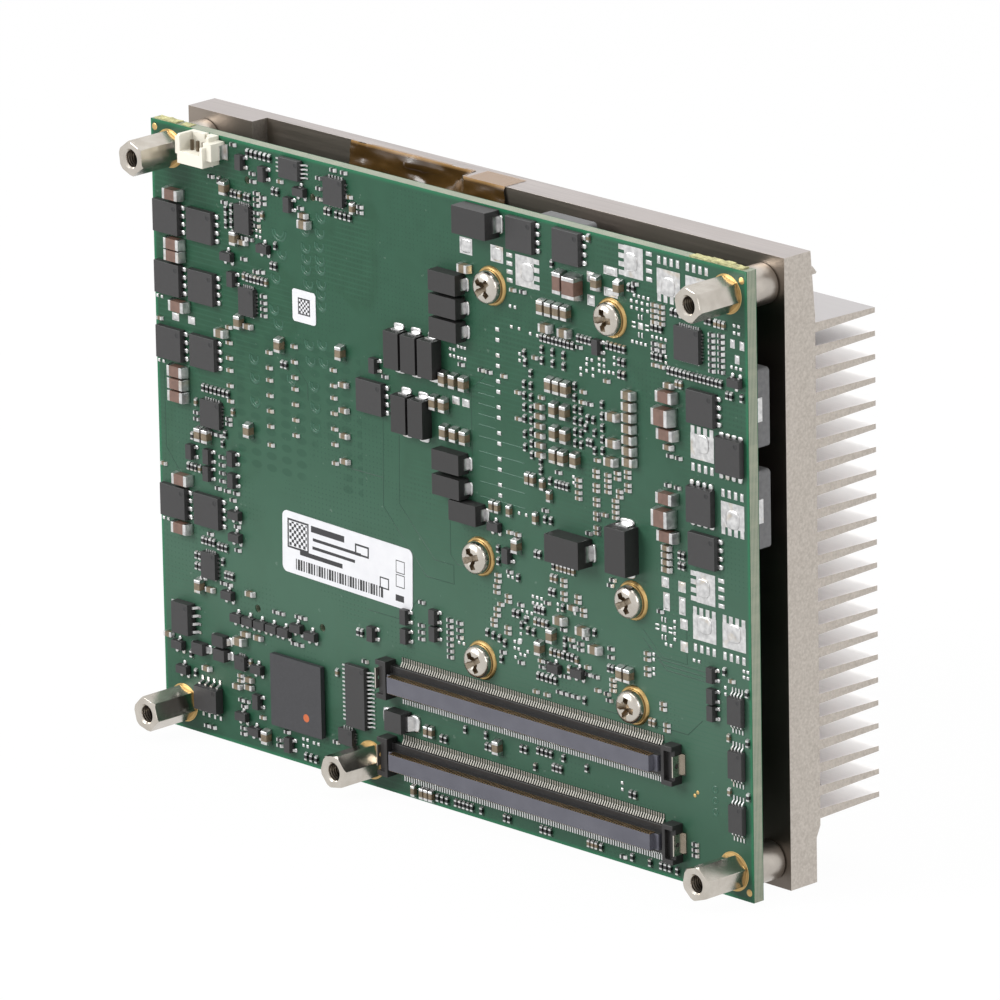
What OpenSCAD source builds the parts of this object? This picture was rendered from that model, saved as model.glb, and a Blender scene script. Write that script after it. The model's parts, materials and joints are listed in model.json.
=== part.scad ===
// Computer module on a finned heatsink: a dense circuit board with two
// board-to-board connectors, five hex standoffs and a cooler behind it.
// Upright as it stands on its lower edges: X along the board, Y from the
// connector side to the fin tips, Z up. Millimetres.

/* [Board] */
// Length of the board along X
board_l = 125; // [118:1:150]
// Height of the board along Z
board_h = 95; // [90:1:120]
// Thickness of the laminate
board_t = 2; // [1.6:0.1:2.6]
// Distance of the corner holes from the edges
hole_edge = 4; // [3.5:0.1:5]
// Place of the fifth hole along the lower edge
mid_hole_x = 45; // [40:1:48]
// Diameter of the mounting holes
hole_d = 2.7; // [2.6:0.1:3.2]
// Outer diameter of the gold land round each hole
land_d = 6; // [5.6:0.1:6.6]

/* [Heatsink] */
// Free space between the board and the cooler plate
gap = 5.7; // [5.2:0.1:7]
// Thickness of the cooler plate under the fins
plate_t = 6.2; // [4.8:0.1:8]
// How much thinner the plate is along its finless edges
edge_relief = 0.8; // [0:0.1:1]
// How far the plate stands above the board's upper edge
plate_over = 0.4; // [0:0.1:1]
// Length of the fins behind the plate
fin_h = 12.3; // [6:0.1:25]
// Number of fins
fin_count = 22; // [8:1:23]
// Distance from fin to fin
fin_pitch = 3.5; // [3:0.05:3.6]
// Height of the lowest fin's middle
fin_low = 10.3; // [9:0.1:14]
// Thickness of a fin at its root
fin_root = 1.5; // [1:0.1:2]
// Thickness of a fin at its tip
fin_tip = 0.8; // [0.5:0.1:1.2]
// Depth of the memory recess in the plate
recess_d = 3; // [1:0.1:3.5]
// Diameter of the posts that carry the board
post_d = 6; // [5:0.1:7]

/* [Standoffs and screws] */
// Length of the hex standoffs
standoff_l = 8; // [5:0.5:12]
// Width of the hex across its flats
standoff_af = 4.8; // [4.5:0.1:5]
// Diameter of the threaded bore in the standoff
thread_d = 2.5; // [2:0.1:2.6]
// Clearance between a stud or screw and its bore
thread_gap = 0.05; // [0.02:0.01:0.1]
// Diameter of the clamp screw heads
head_d = 5.4; // [4:0.1:5.6]
// Height of the clamp screw heads
head_h = 1.9; // [1.4:0.1:2.4]

/* [Connectors] */
// Contacts in one row of a connector
contact_count = 110; // [60:10:120]
// Distance from contact to contact
contact_pitch = 0.5; // [0.4:0.05:0.5]
// Height of the connector tongue above the board
tongue_h = 3.3; // [2.6:0.1:4.2]
// Height of the connector end frames
frame_h = 2.2; // [1.7:0.1:2.5]
// Width of the connector tongue
tongue_w = 2.5; // [1.8:0.1:3]
// Height of the fan header
header_h = 3.5; // [2.8:0.1:5]

/* [Components] */
// Height of the power transistors
transistor_h = 1; // [0.8:0.05:1.4]
// Height of the moulded capacitors
moulded_h = 2; // [1.5:0.1:2.8]
// Height of the tall moulded capacitors
tall_h = 2.9; // [2:0.1:3.6]
// Height of the flat chips
flat_h = 0.9; // [0.7:0.05:1.2]
// Height of the gull-wing chips
gull_h = 1.5; // [1.2:0.05:1.8]
// Height of the processor package on the inner side
package_h = 1.9; // [1.2:0.1:2.6]
// Height of the inductors on the inner side
inductor_h = 2.8; // [2:0.1:4]
// Thickness of the heat-conducting pads
pad_t = 0.5; // [0.3:0.1:1]

/* [Hidden] */
$fn = 48;

// Depths along Y, with the origin in the middle of the whole depth
depth = standoff_l + board_t + gap + plate_t + fin_h;
face_y = standoff_l - depth / 2;
back_y = face_y + board_t;
plate_y = back_y + gap;
plate_h = board_h + plate_over;
root_y = plate_y + plate_t;
tip_y = root_y + fin_h;
seat = 0.05;

// The layout was drawn on a 125 by 95 board and spreads with the board
layout_l = 125;
layout_h = 95;
spread_x = board_l / layout_l;
spread_y = board_h / layout_h;

// Mounting holes: four corners and one more along the lower edge, with each hex's turn
corner_holes = [[hole_edge, hole_edge], [board_l - hole_edge, hole_edge],
    [hole_edge, board_h - hole_edge], [board_l - hole_edge, board_h - hole_edge]];
hole_places = concat(corner_holes, [[mid_hole_x, hole_edge]]);
hex_turns = [10, 18, 5, 0, 8];
post_edge = 0.2;
hex_d = standoff_af / cos(30);

// Small tooling holes through the board
tool_holes = [[20.9, 89.2], [35, 89.2], [20.9, 22.5], [35, 22.5]];
tool_hole_d = 1.2;

// Clamp screws: one pair above the processor, four round the hub
clamp_x = 85.2;
clamp_places = [for (s = [-1, 1]) each [[clamp_x + s * 12.45, 82.9], [clamp_x + s * 15.9, 40.9],
    [clamp_x + s * 15.9, 24.9]]];

// Sizes of the chip packages: length, width, height, end length
size_0402 = [1, 0.5, 0.4];
size_0603 = [1.6, 0.8, 0.75, 0.35];
size_0805 = [2, 1.25, 1.2, 0.45];
size_1206 = [3.2, 1.65, 1.5, 0.55];
size_1210 = [3.2, 2.5, 2, 0.55];

// Places are in layout millimetres from the lower left corner of the connector side.
// A spot is x, y, turn. A row is x, y, step in x, step in y, count, turn.
transistor_spots = concat(
    [for (y = [80.4, 70.85, 60.7, 35.9]) for (x = [3.55, 10.95]) [x, y, 0]],
    [[47.1, 61, 0], [79.5, 92, 0], [89.1, 92, 0], [116.1, 73.1, 0], [121.6, 66.9, -90],
     [115.6, 58.3, 90], [116.1, 51.7, 0]]);
bare_transistor_spots = [[80, 86.4, 180], [102, 92.05, 0], [109.3, 90.1, 90], [115.1, 90.1, 90],
    [115.7, 67.2, -90], [121.7, 57.7, 90], [115.8, 45.8, 0], [115.7, 39.9, -90], [121.7, 39.9, -90]];
moulded_spots = concat(
    [for (y = [82.1, 78.5, 74.9, 54.7, 50.9]) [64.2, y, 0]], [[67.6, 47.6, 0]],
    [for (x = [53.1, 56.7, 60.3]) [x, 69.6, -90]], [for (x = [54.4, 58]) [x, 60, 90]]);
tall_spots = [[71, 92.65, 0], [89.2, 46.4, 0], [100.3, 48.7, 90]];
spots_1206 = concat(
    [for (y = [84.3, 76.6, 74.75, 56.7, 54.75, 52.8, 32.1]) [5.2, y, 0]],
    [[5.9, 67, 0], [5.6, 39.8, 0], [87.6, 86.4, 90], [109.2, 73.5, 0], [109.3, 67.9, 0],
     [109, 58.2, 0], [109.1, 52.5, 0]]);
spots_1210 = [[90.5, 86.3, 90], [108.8, 70.5, 0], [108.5, 55.2, 0]];
rows_0805 = [[83.7, 81.9, 1.65, 0, 4, 90], [101.3, 72.1, 0, -1.68, 7, 0], [85.1, 70.4, 1.65, 0, 3, 90],
    [85.9, 66.8, 2.2, 0, 2, 90], [85.9, 63.2, 2.2, 0, 2, 90], [85.8, 59.8, 1.75, 0, 2, 90],
    [90.1, 60, 0, 0, 1, 90], [62.8, 66.9, 2.1, 0, 3, 90], [60.7, 62.8, 2, 0, 2, 90],
    [62.8, 58.7, 2.1, 0, 3, 90], [84.4, 78.9, 3.9, 0, 2, 0], [67.6, 84.7, 0, 0, 1, 0],
    [16.4, 87.3, 0, 0, 1, 90], [18.4, 79.9, 0, 0, 1, 90], [18.9, 67, 0, 0, 1, 90],
    [27.6, 65.1, 0, 0, 1, 90], [20.4, 50.4, 0, 0, 1, 90], [40.8, 66.5, 0, 0, 1, 90],
    [14.9, 64.5, 0, 0, 1, 0], [33.6, 84.9, 0, 0, 1, 0], [95, 87.7, 0, 0, 1, 90], [99.6, 87.9, 0, 0, 1, 90],
    [98, 68.2, 0, -4, 2, 0], [97.5, 61.3, 0, 0, 1, 0], [9.5, 47.6, 1.6, 0, 2, 90],
    [77.5, 44.3, 0, 0, 1, 90], [86.4, 34.8, 0, 0, 1, 0], [91, 34.2, 0, 0, 1, 0],
    [84.5, 32, 0, 0, 1, 90], [82, 29.6, 0, 0, 1, 90], [93.6, 31.9, 0, 0, 1, 0],
    [98.9, 29.4, 1.6, 0, 2, 90], [17.3, 16.7, 0, 0, 1, 0], [22.7, 2.7, 0, 0, 1, 90],
    [72.7, 12.2, 0, 0, 1, 90], [8.7, 23.6, 0, 0, 1, 90]];
rows_0603 = [[82.6, 66.6, 0, -1.47, 6, 0], [108.4, 50.5, 0, -1.1, 4, 0], [41.1, 61.6, 0, -3.95, 4, 0],
    [79.9, 55.1, 1.1, 0, 2, 90], [83, 54.8, 0, 0, 1, 90], [84.4, 53.3, 0, 0, 1, 90],
    [72.3, 49.3, 1.15, 0, 2, 90], [75.9, 49.3, 0, 0, 1, 90], [81.4, 49.3, 0, 0, 1, 90],
    [19.9, 79.5, 0, 0, 1, 0], [20.6, 66.6, 0, 0, 1, 0], [43.9, 89.2, 0, 0, 1, 90],
    [33.2, 86.1, 0, 0, 1, 0], [109.1, 65.8, 0, 0, 1, 0], [109.3, 75.1, 0, 0, 1, 0],
    [88.8, 37.2, 0, 0, 1, 0], [19.6, 24.6, 0, 0, 1, 0], [10.8, 23.4, 0, 0, 1, 0],
    [18.9, 10.9, 0, -1.2, 2, 0], [16.3, 9.3, 0, 0, 1, 0], [9.6, 10.7, 0, 0, 1, 0],
    [1.3, 14.4, 0, 0, 1, 0], [57.4, 11.3, 1.1, 0, 2, 90], [54.4, 1.3, 0, 0, 1, 90], [56.2, 1.3, 1, 0, 3, 90],
    [18.4, 18, 2.8, 0, 2, 0]];
rows_small_capacitors = [[28.2, 90.4, 0, 0, 1, 0], [19.4, 86.6, 0, 0, 1, 90], [24.2, 84.4, 0, 0, 1, 90],
    [19.9, 74.2, 0, 0, 1, 90], [24.7, 74.1, 0, 0, 1, 90], [43.1, 90.8, 0, 0, 1, 0],
    [93.2, 94, 0, 0, 1, 90], [81.7, 73.8, 0, 0, 1, 0], [106.4, 86.6, 0, -0.85, 4, 0],
    [107.9, 86.6, 0, -0.85, 4, 0], [107.9, 80.8, 0, 0, 1, 0], [106.4, 77.6, 1.5, 0, 2, 0],
    [75.8, 46, 1.6, 0, 2, 0], [91.6, 70.6, 0, 0, 1, 0], [91.4, 69, 0, 0, 1, 0], [94.3, 60.8, 0, 0, 1, 0],
    [82.9, 68, 0, 0, 1, 0], [96.5, 73.2, 0, 0, 1, 0], [80.9, 33.4, 1.6, 0, 2, 90],
    [84.1, 29.4, 1.7, 0, 2, 90], [88.3, 32.2, 0, 0, 1, 0], [89.4, 29.2, 0, 0, 1, 90],
    [81.9, 27.6, 0, 0, 1, 0], [120.5, 24.2, 0, 0, 1, 90], [120.5, 16, 0, 0, 1, 90],
    [77.3, 83.2, 0, 0, 1, 0], [118.9, 86.2, 0.8, 0, 3, 90], [110.9, 75.6, 0.8, 0, 2, 90],
    [16.2, 65.6, 0, -2.4, 3, 0], [16.2, 58.9, 0, -2.4, 3, 0], [24.9, 63.4, 0, -2.4, 2, 0],
    [24.9, 59.1, 0, -2.4, 4, 0], [24.9, 49, 0, 0, 1, 0], [30.4, 65.4, 0, -2.4, 3, 0],
    [30.4, 58.8, 0, -2.4, 4, 0], [38.8, 63.4, 0, -2.4, 2, 0], [38.8, 59.1, 0, -2.4, 4, 0],
    [38.8, 49, 0, 0, 1, 0], [8.6, 52.4, 0, 0, 1, 90], [16.7, 52.4, 0, 0, 1, 90], [1, 64.1, 0, 0, 1, 0],
    [1, 41.3, 0, 0, 1, 0], [94, 59.1, 0, -2.15, 5, 0], [94, 58.3, 0, -2.15, 5, 0],
    [90.3, 57, 0, -0.9, 2, 0], [90.3, 55.1, 0, -0.9, 2, 0], [75.1, 69.7, 0, 0, 1, 0],
    [78, 67.8, 0, -4, 2, 0], [96.4, 59, 0, -0.85, 4, 0], [98.4, 59.7, 0, -0.85, 2, 0],
    [100.5, 60.3, 0, -0.8, 2, 0], [100.5, 58.3, 0, -0.8, 2, 0], [98.8, 57, 0, -0.8, 2, 0],
    [97.9, 55.4, 0, -0.85, 4, 0], [95.7, 52.8, 0, 0, 1, 0], [9.1, 42, 0, 0, 1, 90],
    [73.1, 38.9, 0, -0.9, 2, 0], [72.8, 37.1, 0, -0.9, 2, 0], [75.2, 36.1, 0, -0.8, 2, 0],
    [73.6, 34.5, 0, 0, 1, 0], [72.8, 33.6, 0, -0.9, 2, 0], [72.1, 31.8, 0, -0.8, 2, 0],
    [75, 31.2, 0, -0.8, 2, 0], [85.8, 42.7, 0.8, 0, 5, 90], [84.5, 40.8, 0.8, 0, 2, 90],
    [86.9, 41, 0, -0.8, 2, 0], [86.9, 39, 0, -0.9, 2, 0], [89.8, 39.1, 0, -0.8, 2, 0],
    [90.9, 37.3, 0, -0.8, 2, 0], [104, 33.5, 0, -0.9, 2, 0], [104, 31.2, 0, -0.9, 2, 0],
    [121.2, 33, 0, 0, 1, 0], [107.1, 26.5, 0, -0.8, 2, 0], [87.8, 27.5, 0, 0, 1, 90],
    [91.6, 28.7, 0, 0, 1, 0], [93.6, 25.6, 0, 0, 1, 0], [19.3, 13.6, 0, 0, 1, 90],
    [21.6, 5.5, 0, 0, 1, 0], [38.2, 16.2, 0, 0, 1, 90], [91.3, 1.5, 0.8, 0, 3, 90],
    [104.5, 23.1, 0.75, 0, 2, 90], [107.8, 23.4, 0, -0.8, 2, 0], [80.7, 22.6, 0, 0, 1, 0],
    [83, 22.6, 0, 0, 1, 0], [16.9, 11.1, 0, -0.8, 2, 0], [96.8, 27.9, 0, -0.8, 3, 0]];
rows_small_resistors = [[18.1, 94.2, 0, 0, 1, 0], [21.3, 93.5, 0.95, 0, 6, 90],
    [22.2, 90.5, 0, 0, 1, 0], [22.3, 89.3, 0, 0, 1, 0], [13.2, 88.4, 0, 0, 1, 0],
    [14.9, 88.1, 0, 0, 1, 90], [26.7, 88.6, 0.9, 0, 2, 90], [17.7, 86.6, 0.85, 0, 2, 90],
    [20.6, 86.6, 0.8, 0, 2, 90], [23, 87.6, 0, -0.9, 3, 0], [24.4, 87.2, 0, -0.9, 2, 0],
    [15.9, 84.9, 0, 0, 1, 0], [16.3, 83.9, 0, -1.2, 3, 90], [17.5, 84.4, 0, -1.3, 3, 90],
    [20.2, 80.2, 1.3, 0, 2, 0], [23, 84.6, 0, -1, 3, 0], [26.9, 80.2, 0, 0, 1, 90],
    [26, 77, 0.8, 0, 2, 90], [19.9, 76.9, 0, 0, 1, 0], [22.5, 75.4, 1.2, 0.2, 2, 0],
    [20.7, 74.1, 0.8, 0, 5, 90], [24, 71.9, 0, -1, 4, 0], [39.7, 94.3, 2.3, 0, 2, 0],
    [36.6, 92.5, 0, -1.6, 3, 0], [38, 87.7, 0.8, 0, 2, 90], [40.3, 87.6, 0.95, 0, 4, 90],
    [45.3, 89.7, 0, -0.85, 2, 0], [32.5, 87.1, 0, 0, 1, 0], [79.4, 83.3, 0, 0, 1, 0],
    [85.6, 88.7, 0, 0, 1, 90], [83.2, 77.1, 0.8, 0, 9, 90], [83.2, 75.3, 2.25, 0, 3, 90],
    [83.2, 73.6, 2.25, 0, 3, 90], [79.5, 74, 0, 0, 1, 90], [90.8, 78.5, 0.8, 0, 4, 90],
    [96.8, 78.6, 0.85, 0, 5, 90], [99.2, 76.6, 0.9, 0, 2, 90], [99.2, 74.7, 0.9, 0, 2, 90],
    [101.4, 88.2, 0.9, 0, 2, 90], [102.6, 89, 0, 0, 1, 0], [118, 84.4, 0, -0.9, 7, 0],
    [119.9, 84.6, 0, -0.9, 7, 0], [117, 86.3, 0.8, 0, 2, 90], [109.3, 77.3, 0.81, 0, 14, 90],
    [121.1, 75.9, 0.8, 0, 2, 90], [124, 76, 0, 0, 1, 90], [27.8, 62.1, 0.8, 0, 2, 90],
    [10.3, 55, 0.9, 0, 7, 90], [8.6, 50.8, 0, -1, 2, 0], [15.7, 51.2, 0, -0.8, 2, 0],
    [12.4, 48.2, 1.2, 0, 2, 0], [14.9, 48.6, 0, 0, 1, 90], [49.9, 64.6, 0, 0, 1, 0],
    [79.4, 69.3, 0, -1.75, 4, 90], [80.8, 69.3, 0, -1.75, 7, 90], [79.4, 61.7, 0, -2, 2, 90],
    [89.9, 67.6, 0, -1.72, 4, 90], [91.1, 67.6, 0, -1.72, 4, 90], [92.5, 66.7, 1.2, 0, 2, 90],
    [93.9, 64.8, 0, -2.7, 2, 90], [92.5, 63.1, 0.7, 0, 2, 90], [84.5, 55.6, 0, 0, 1, 90],
    [85.8, 55.4, 0.75, 0, 4, 90], [86.2, 57.3, 0, 0, 1, 0], [83.3, 50.9, 0, 0, 1, 0],
    [83.3, 49.5, 1.2, 0, 2, 90], [70.4, 69.7, -4.2, 0, 2, 0], [95.5, 69.4, 0, -1.75, 5, 90],
    [109.2, 64.5, 1.8, 0, 2, 0], [108.7, 60, 2, 0, 2, 0], [111, 49.9, 0.8, 0, 2, 90],
    [111, 48.3, 0.8, 0, 2, 90], [14, 44.9, 0, -1.25, 4, 0], [6.6, 42, 0.8, 0, 3, 90],
    [13, 39.8, 2, 0, 3, 0], [16.2, 38.6, 0, 0, 1, 0], [17, 34.6, 0, -3.7, 2, 0],
    [7.6, 46.9, 0, 0, 1, 90], [14.3, 47, 0, 0, 1, 90], [9.4, 30.9, 0.8, 0, 4, 90],
    [12.9, 30.6, 0.8, 0, 3, 90], [11, 32.2, 0, 0, 1, 0], [7.8, 28.2, 0.8, 0, 2, 90],
    [7.8, 26.5, 0.8, 0, 2, 90], [13.7, 28.3, 0, 0, 1, 90], [14.3, 26.4, 0.7, 0, 3, 90],
    [13.6, 25, 1.3, 0, 2, 0], [9.2, 24.9, 0, 0, 1, 180], [56.8, 31.2, 0, 0, 1, 0],
    [56.6, 27.6, 0, -1.05, 3, 0], [62.7, 29.7, 0, -0.95, 7, 0], [64.8, 29.7, 0, -1.1, 3, 0],
    [43, 23.6, 0.8, 0, 2, 90], [73.3, 42.9, 0, -1.9, 2, 90], [72, 69.7, 0, 0, 1, 0],
    [77.4, 39.3, 0, 0, 1, 90], [75.6, 39.9, 0, 0, 1, 0], [84.9, 42.7, 0, 0, 1, 90],
    [81.2, 43.8, 0.8, 0, 2, 90], [84.1, 38.6, 0.8, 0, 2, 90], [86.7, 36.7, 0, 0, 1, 90],
    [83.4, 36.8, 0, 0, 1, 0], [81, 35.3, 0.8, 0, 3, 90], [77.8, 35.3, 0, 0, 1, 0],
    [76.4, 33.7, 0.9, 0, 2, 90], [93.2, 34.3, 0, 0, 1, 90], [81.7, 33.4, 1.6, 0, 2, 90],
    [79.3, 31.6, 1.2, 0, 2, 90], [78, 32.2, 0, 0, 1, 90], [78.9, 33.2, 0, 0, 1, 90],
    [84.95, 29.4, 1.7, 0, 2, 90], [87.7, 29.4, 0.85, 0, 2, 90], [87, 31.8, 0, -1.2, 2, 90],
    [86.7, 33.4, 0, 0, 1, 0], [88.6, 31.3, 0, 0, 1, 0], [90.2, 32, 0, -0.9, 2, 0],
    [91.2, 33.1, 0, 0, 1, 0], [83.2, 27.6, 0, 0, 1, 0], [83.5, 26.7, 0, 0, 1, 90],
    [106.1, 83.2, 0.85, 0, 3, 90], [106.4, 80.8, 0, 0, 1, 0],
    [106.4, 80, 1.5, 0, 2, 0], [106.1, 78.9, 0.85, 0, 3, 90], [110.1, 86.2, 0.9, 0, 3, 90],
    [90.9, 77.2, 0, 0, 1, 0], [79.7, 72.6, 0, 0, 1, 90], [80.8, 71.2, 0, 0, 1, 90],
    [89.9, 71.1, 0, -1.75, 2, 90], [92.1, 65.2, 0.8, 0, 1, 90], [92.9, 69, 0, 0, 1, 0],
    [82.6, 58.2, 0, -1.5, 2, 90], [92.3, 49.3, 0, 0, 1, 0], [96.5, 32.6, 0, -1.3, 2, 0],
    [96.1, 29.5, 0.8, 0, 2, 90], [95.6, 25.5, 0.4, -0.9, 2, 0], [119.8, 34.1, 0, 0, 1, 90],
    [124.3, 31.7, 0, 0, 1, 90], [124.3, 24.2, 0, 0, 1, 90], [124.3, 16, 0, 0, 1, 90],
    [104, 1.4, 0, 0, 1, 90], [106.3, 1.5, 0.9, 0, 3, 90], [109.6, 1.4, 0, 0, 1, 90],
    [70.7, 29.5, 0, 0, 1, 90], [72, 29.3, 0, 0, 1, 90], [73.3, 29.1, 0, 0, 1, 90],
    [74.4, 28.6, 0, 0, 1, 90], [73.9, 27.2, 0, 0, 1, 0], [73.6, 26, 0, 0, 1, 90],
    [77.7, 26.4, 0, 0, 1, 0], [81.3, 25.1, 0.9, 0, 5, 90], [82.1, 26.7, 0, 0, 1, 0],
    [87.3, 26.3, 0, 0, 1, 0], [91.7, 27.6, 1.6, 0, 2, 0], [85.6, 23.6, 1.2, 0, 4, 0],
    [90.9, 23.4, 0, 0, 1, 90], [97.1, 43.2, -0.5, -0.9, 2, 0], [106.8, 40.5, 0, 0, 1, 0],
    [6.1, 12.2, 0, 0, 1, 90], [7, 9.4, 0, 0, 1, 90], [17, 7.3, 1.2, 0, 2, 0], [17.6, 6.4, 0, 0, 1, 0],
    [17.3, 2.9, 0, -0.9, 2, 0], [9.2, 1.5, 1.3, 0, 2, 0], [25.2, 2.8, 0, -0.9, 2, 0],
    [31, 1.4, 1.1, 0, 3, 90], [26.9, 4.4, 0, 0, 1, 0], [44.3, 19.3, 0, 0, 1, 0], [37.6, 5.2, 0, 0, 1, 0],
    [60.5, 10.8, 0.9, 0, 2, 90], [59.4, 1.3, 1, 0, 3, 90], [63.3, 1.4, 0.85, 0, 5, 90],
    [68.7, 1.4, 0, 0, 1, 90], [73.7, 1.4, 0.9, 0, 2, 90], [81.4, 1.4, 0.9, 0, 3, 90],
    [93.9, 1.5, 0, 0, 1, 90], [98.4, 1.1, 0, 0, 1, 0], [100.3, 1.4, 0, 0, 1, 90],
    [65.6, 13.3, 0, 0, 1, 90], [70, 13.4, 0, 0, 1, 90], [70.1, 11.7, 0.85, 0, 2, 90],
    [77.5, 13, 0.9, 0, 2, 90], [81, 13.5, 0.9, 0, 4, 90], [86.3, 13.5, 0, 0, 1, 90],
    [80.3, 10.8, 0, 0, 1, 90], [84.2, 11.6, 0.75, 0, 3, 90], [91.1, 13, 0, 0, 1, 90],
    [100.2, 11.1, 0.9, 0, 2, 90], [113.3, 6.4, 0, -0.85, 3, 0], [25, 22.9, 1.3, 0, 2, 0],
    [29.9, 23.2, 1.2, 0, 2, 0], [28.9, 18.8, 1.4, 0, 2, 0]];
sot_spots = concat(
    [for (p = [[24.6, 79.4], [16.6, 76.7], [32.8, 89.7], [16.9, 36.4], [16.9, 32.9],
        [72.9, 46.3], [14.9, 23.4], [3.6, 13.2], [4.5, 9.5], [21, 13], [17.4, 4.8], [20.2, 3],
        [29.9, 21.4], [33, 20.8], [85, 27.1], [89.9, 27.4]]) [p[0], p[1], 0]],
    [for (i = [0:4]) [16.8 + 2.6 * i, 20.2, 0]], [[122.9, 78.2, 180]],
    [for (p = [[19.9, 91.9], [24.8, 91], [30.2, 87.3], [17.5, 73.4], [47.9, 66], [7.4, 44.5], [11.2, 44.5],
        [11.1, 41.8], [16.5, 45.2], [16.5, 41.8], [53.4, 28.3], [53.4, 25.3], [59.6, 29.6], [59.6, 27],
        [46.2, 24.1], [75.4, 42.4], [117.4, 33.2], [117.4, 30], [117.4, 27.4], [20.8, 7.9],
        [27.6, 2.6], [94.9, 78.1]]) [p[0], p[1], 90]]);
diode_spots = [[13, 15.9, 0], [8.4, 13.7, 0], [13.2, 13.7, 0]];
rectifier_spot = [52, 11.9];

// Flat chips: x, y, length, width, leads along a side
flat_chips = [[20.3, 83.2, 3.2, 4.4, 6], [20.8, 70.5, 3.2, 4.3, 6], [12.2, 51.3, 4.2, 4.2, 6],
    [11, 27.3, 3.1, 4.1, 5], [40.2, 91.1, 4.1, 4.2, 5], [113.5, 82.1, 5, 5.1, 9],
    [40.3, 6.7, 3, 2.5, 4], [17.4, 13.3, 2.2, 2.2, 3]];
// Gull-wing chips: x, y, turn, body length, body width, leads on a side, lead pitch
gull_chips = [[5.1, 17.9, 0, 4.9, 3.9, 4, 1.27], [10.3, 6.1, 90, 4.9, 3.9, 4, 1.27],
    [42.7, 13.5, 0, 9.7, 4.4, 14, 0.65], [30.8, 92.9, 0, 3.1, 4.4, 4, 0.65],
    [122.3, 28.7, 90, 2.8, 4.4, 4, 0.65], [122.3, 20.5, 90, 2.8, 4.4, 4, 0.65],
    [122.3, 12.3, 90, 2.8, 4.4, 4, 0.65]];
gull_reach = 1.25;
bridge_size = [11, 11.3];
bridge_spot = [29.9, 10.9];

// Connectors: middle of each, housing sizes and where the leads end
connector_x = 79.6;
upper_y = 18.05;
lower_y = 6;
base_w = 4.4;
base_h = 1;
block_h = 1.5;
post_l = 2.2;
lead_out = 3.62;
lead_w = 0.24;
contact_l = 1.1;
row_l = (contact_count - 1) * contact_pitch;
tongue_l = row_l + 2.2;
frame_l = row_l + 7.6;
frame_w = 6;

// Fan header: middle, and length and width of its box
header_spot = [12.2, 92.75];
header_l = 5.5;
header_w = 4.5;
header_wall = 0.6;
header_back = 1.9;
header_floor = 0.9;
header_pin_pitch = 1.25;

// Labels: middle, length, height, turn
label_t = 0.1;
identity_place = [40.8, 34.3, 28, 9.6, -1.4];
code_place = [32.7, 71.9, 5, 5, 0];

// Inner side: processor, hub, memory and inductors
processor_spot = [clamp_x, 61.5];
processor_size = [31, 24];
die_size = [14, 10];
die_h = 0.7;
hub_spot = [clamp_x, 32.9];
hub_size = [22, 14];
memory_size = [11, 9];
memory_h = 1.1;
memory_spots = [for (x = [24, 36.5, 49]) for (y = [66, 77.5]) [x, y]];
recess_x = [14, 59];
recess_low = 60;
inductor_size = [10, 11.8];
inductor_spots = [[119.6, 73.9], [119.6, 58.7], [85, 88.8]];
boss_d = 5.6;

// Places parts on the connector side: x and y on the board, z away from it
module on_face() {
    translate([-board_l / 2, face_y, 0]) rotate([90, 0, 0]) children();
}

// Places parts on the inner side: x and y on the board, z towards the plate
module on_back() {
    translate([-board_l / 2, back_y, 0]) rotate([90, 0, 0]) mirror([0, 0, 1]) children();
}

module spots(list) {
    for (p = list) translate([p[0] * spread_x, p[1] * spread_y, 0])
        rotate(len(p) > 2 ? p[2] : 0) children();
}

module rows(list) {
    for (r = list) for (i = [0:r[4] - 1])
        translate([(r[0] + i * r[2]) * spread_x, (r[1] + i * r[3]) * spread_y, 0]) rotate(r[5]) children();
}

module slab(l, w, h) {
    translate([-l / 2, -w / 2, 0]) cube([l, w, h]);
}

// A rectangle with round corners
module round_slab(l, w, r, h) {
    linear_extrude(h) union() {
        square([l - 2 * r, w], center = true);
        square([l, w - 2 * r], center = true);
        for (x = [-1, 1]) for (y = [-1, 1]) translate([x * (l / 2 - r), y * (w / 2 - r)]) circle(r);
    }
}

// A moulded body whose long sides lean in above the parting line
module moulded_body(l, w, h, lean) {
    part = 0.5 * h;
    rotate([90, 0, 0]) linear_extrude(w, center = true)
        polygon([[-l / 2, 0], [l / 2, 0], [l / 2, part], [l / 2 - lean, h], [-l / 2 + lean, h],
            [-l / 2, part]]);
}

// A bent lead that leaves a body at x = 0 and stands on the board
module gull_lead(reach, rise, w, t) {
    foot = 0.5 * reach;
    rotate([90, 0, 0]) linear_extrude(w, center = true)
        polygon([[0, rise], [0.2 * reach, rise], [reach - foot, t], [reach, t], [reach, 0],
            [reach - foot - t, 0], [0.2 * reach - t / 2, rise - t], [0, rise - t]]);
}

// A lead that slopes straight down from a body at x = 0 to its foot
module straight_lead(reach, rise, w, t) {
    foot = 0.5 * reach;
    rotate([90, 0, 0]) linear_extrude(w, center = true)
        polygon([[0, rise], [reach - foot, t], [reach, t], [reach, 0], [reach - foot - t, 0],
            [0, rise - t]]);
}

// A chip part's body between its ends, and the two ends
module chip_body(s) {
    slab(s[0] - 2 * s[3], s[1], s[2]);
}

module chip_ends(s) {
    for (side = [-1, 1]) translate([side * (s[0] - s[3]) / 2, 0, 0]) slab(s[3], s[1], s[2]);
}

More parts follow.
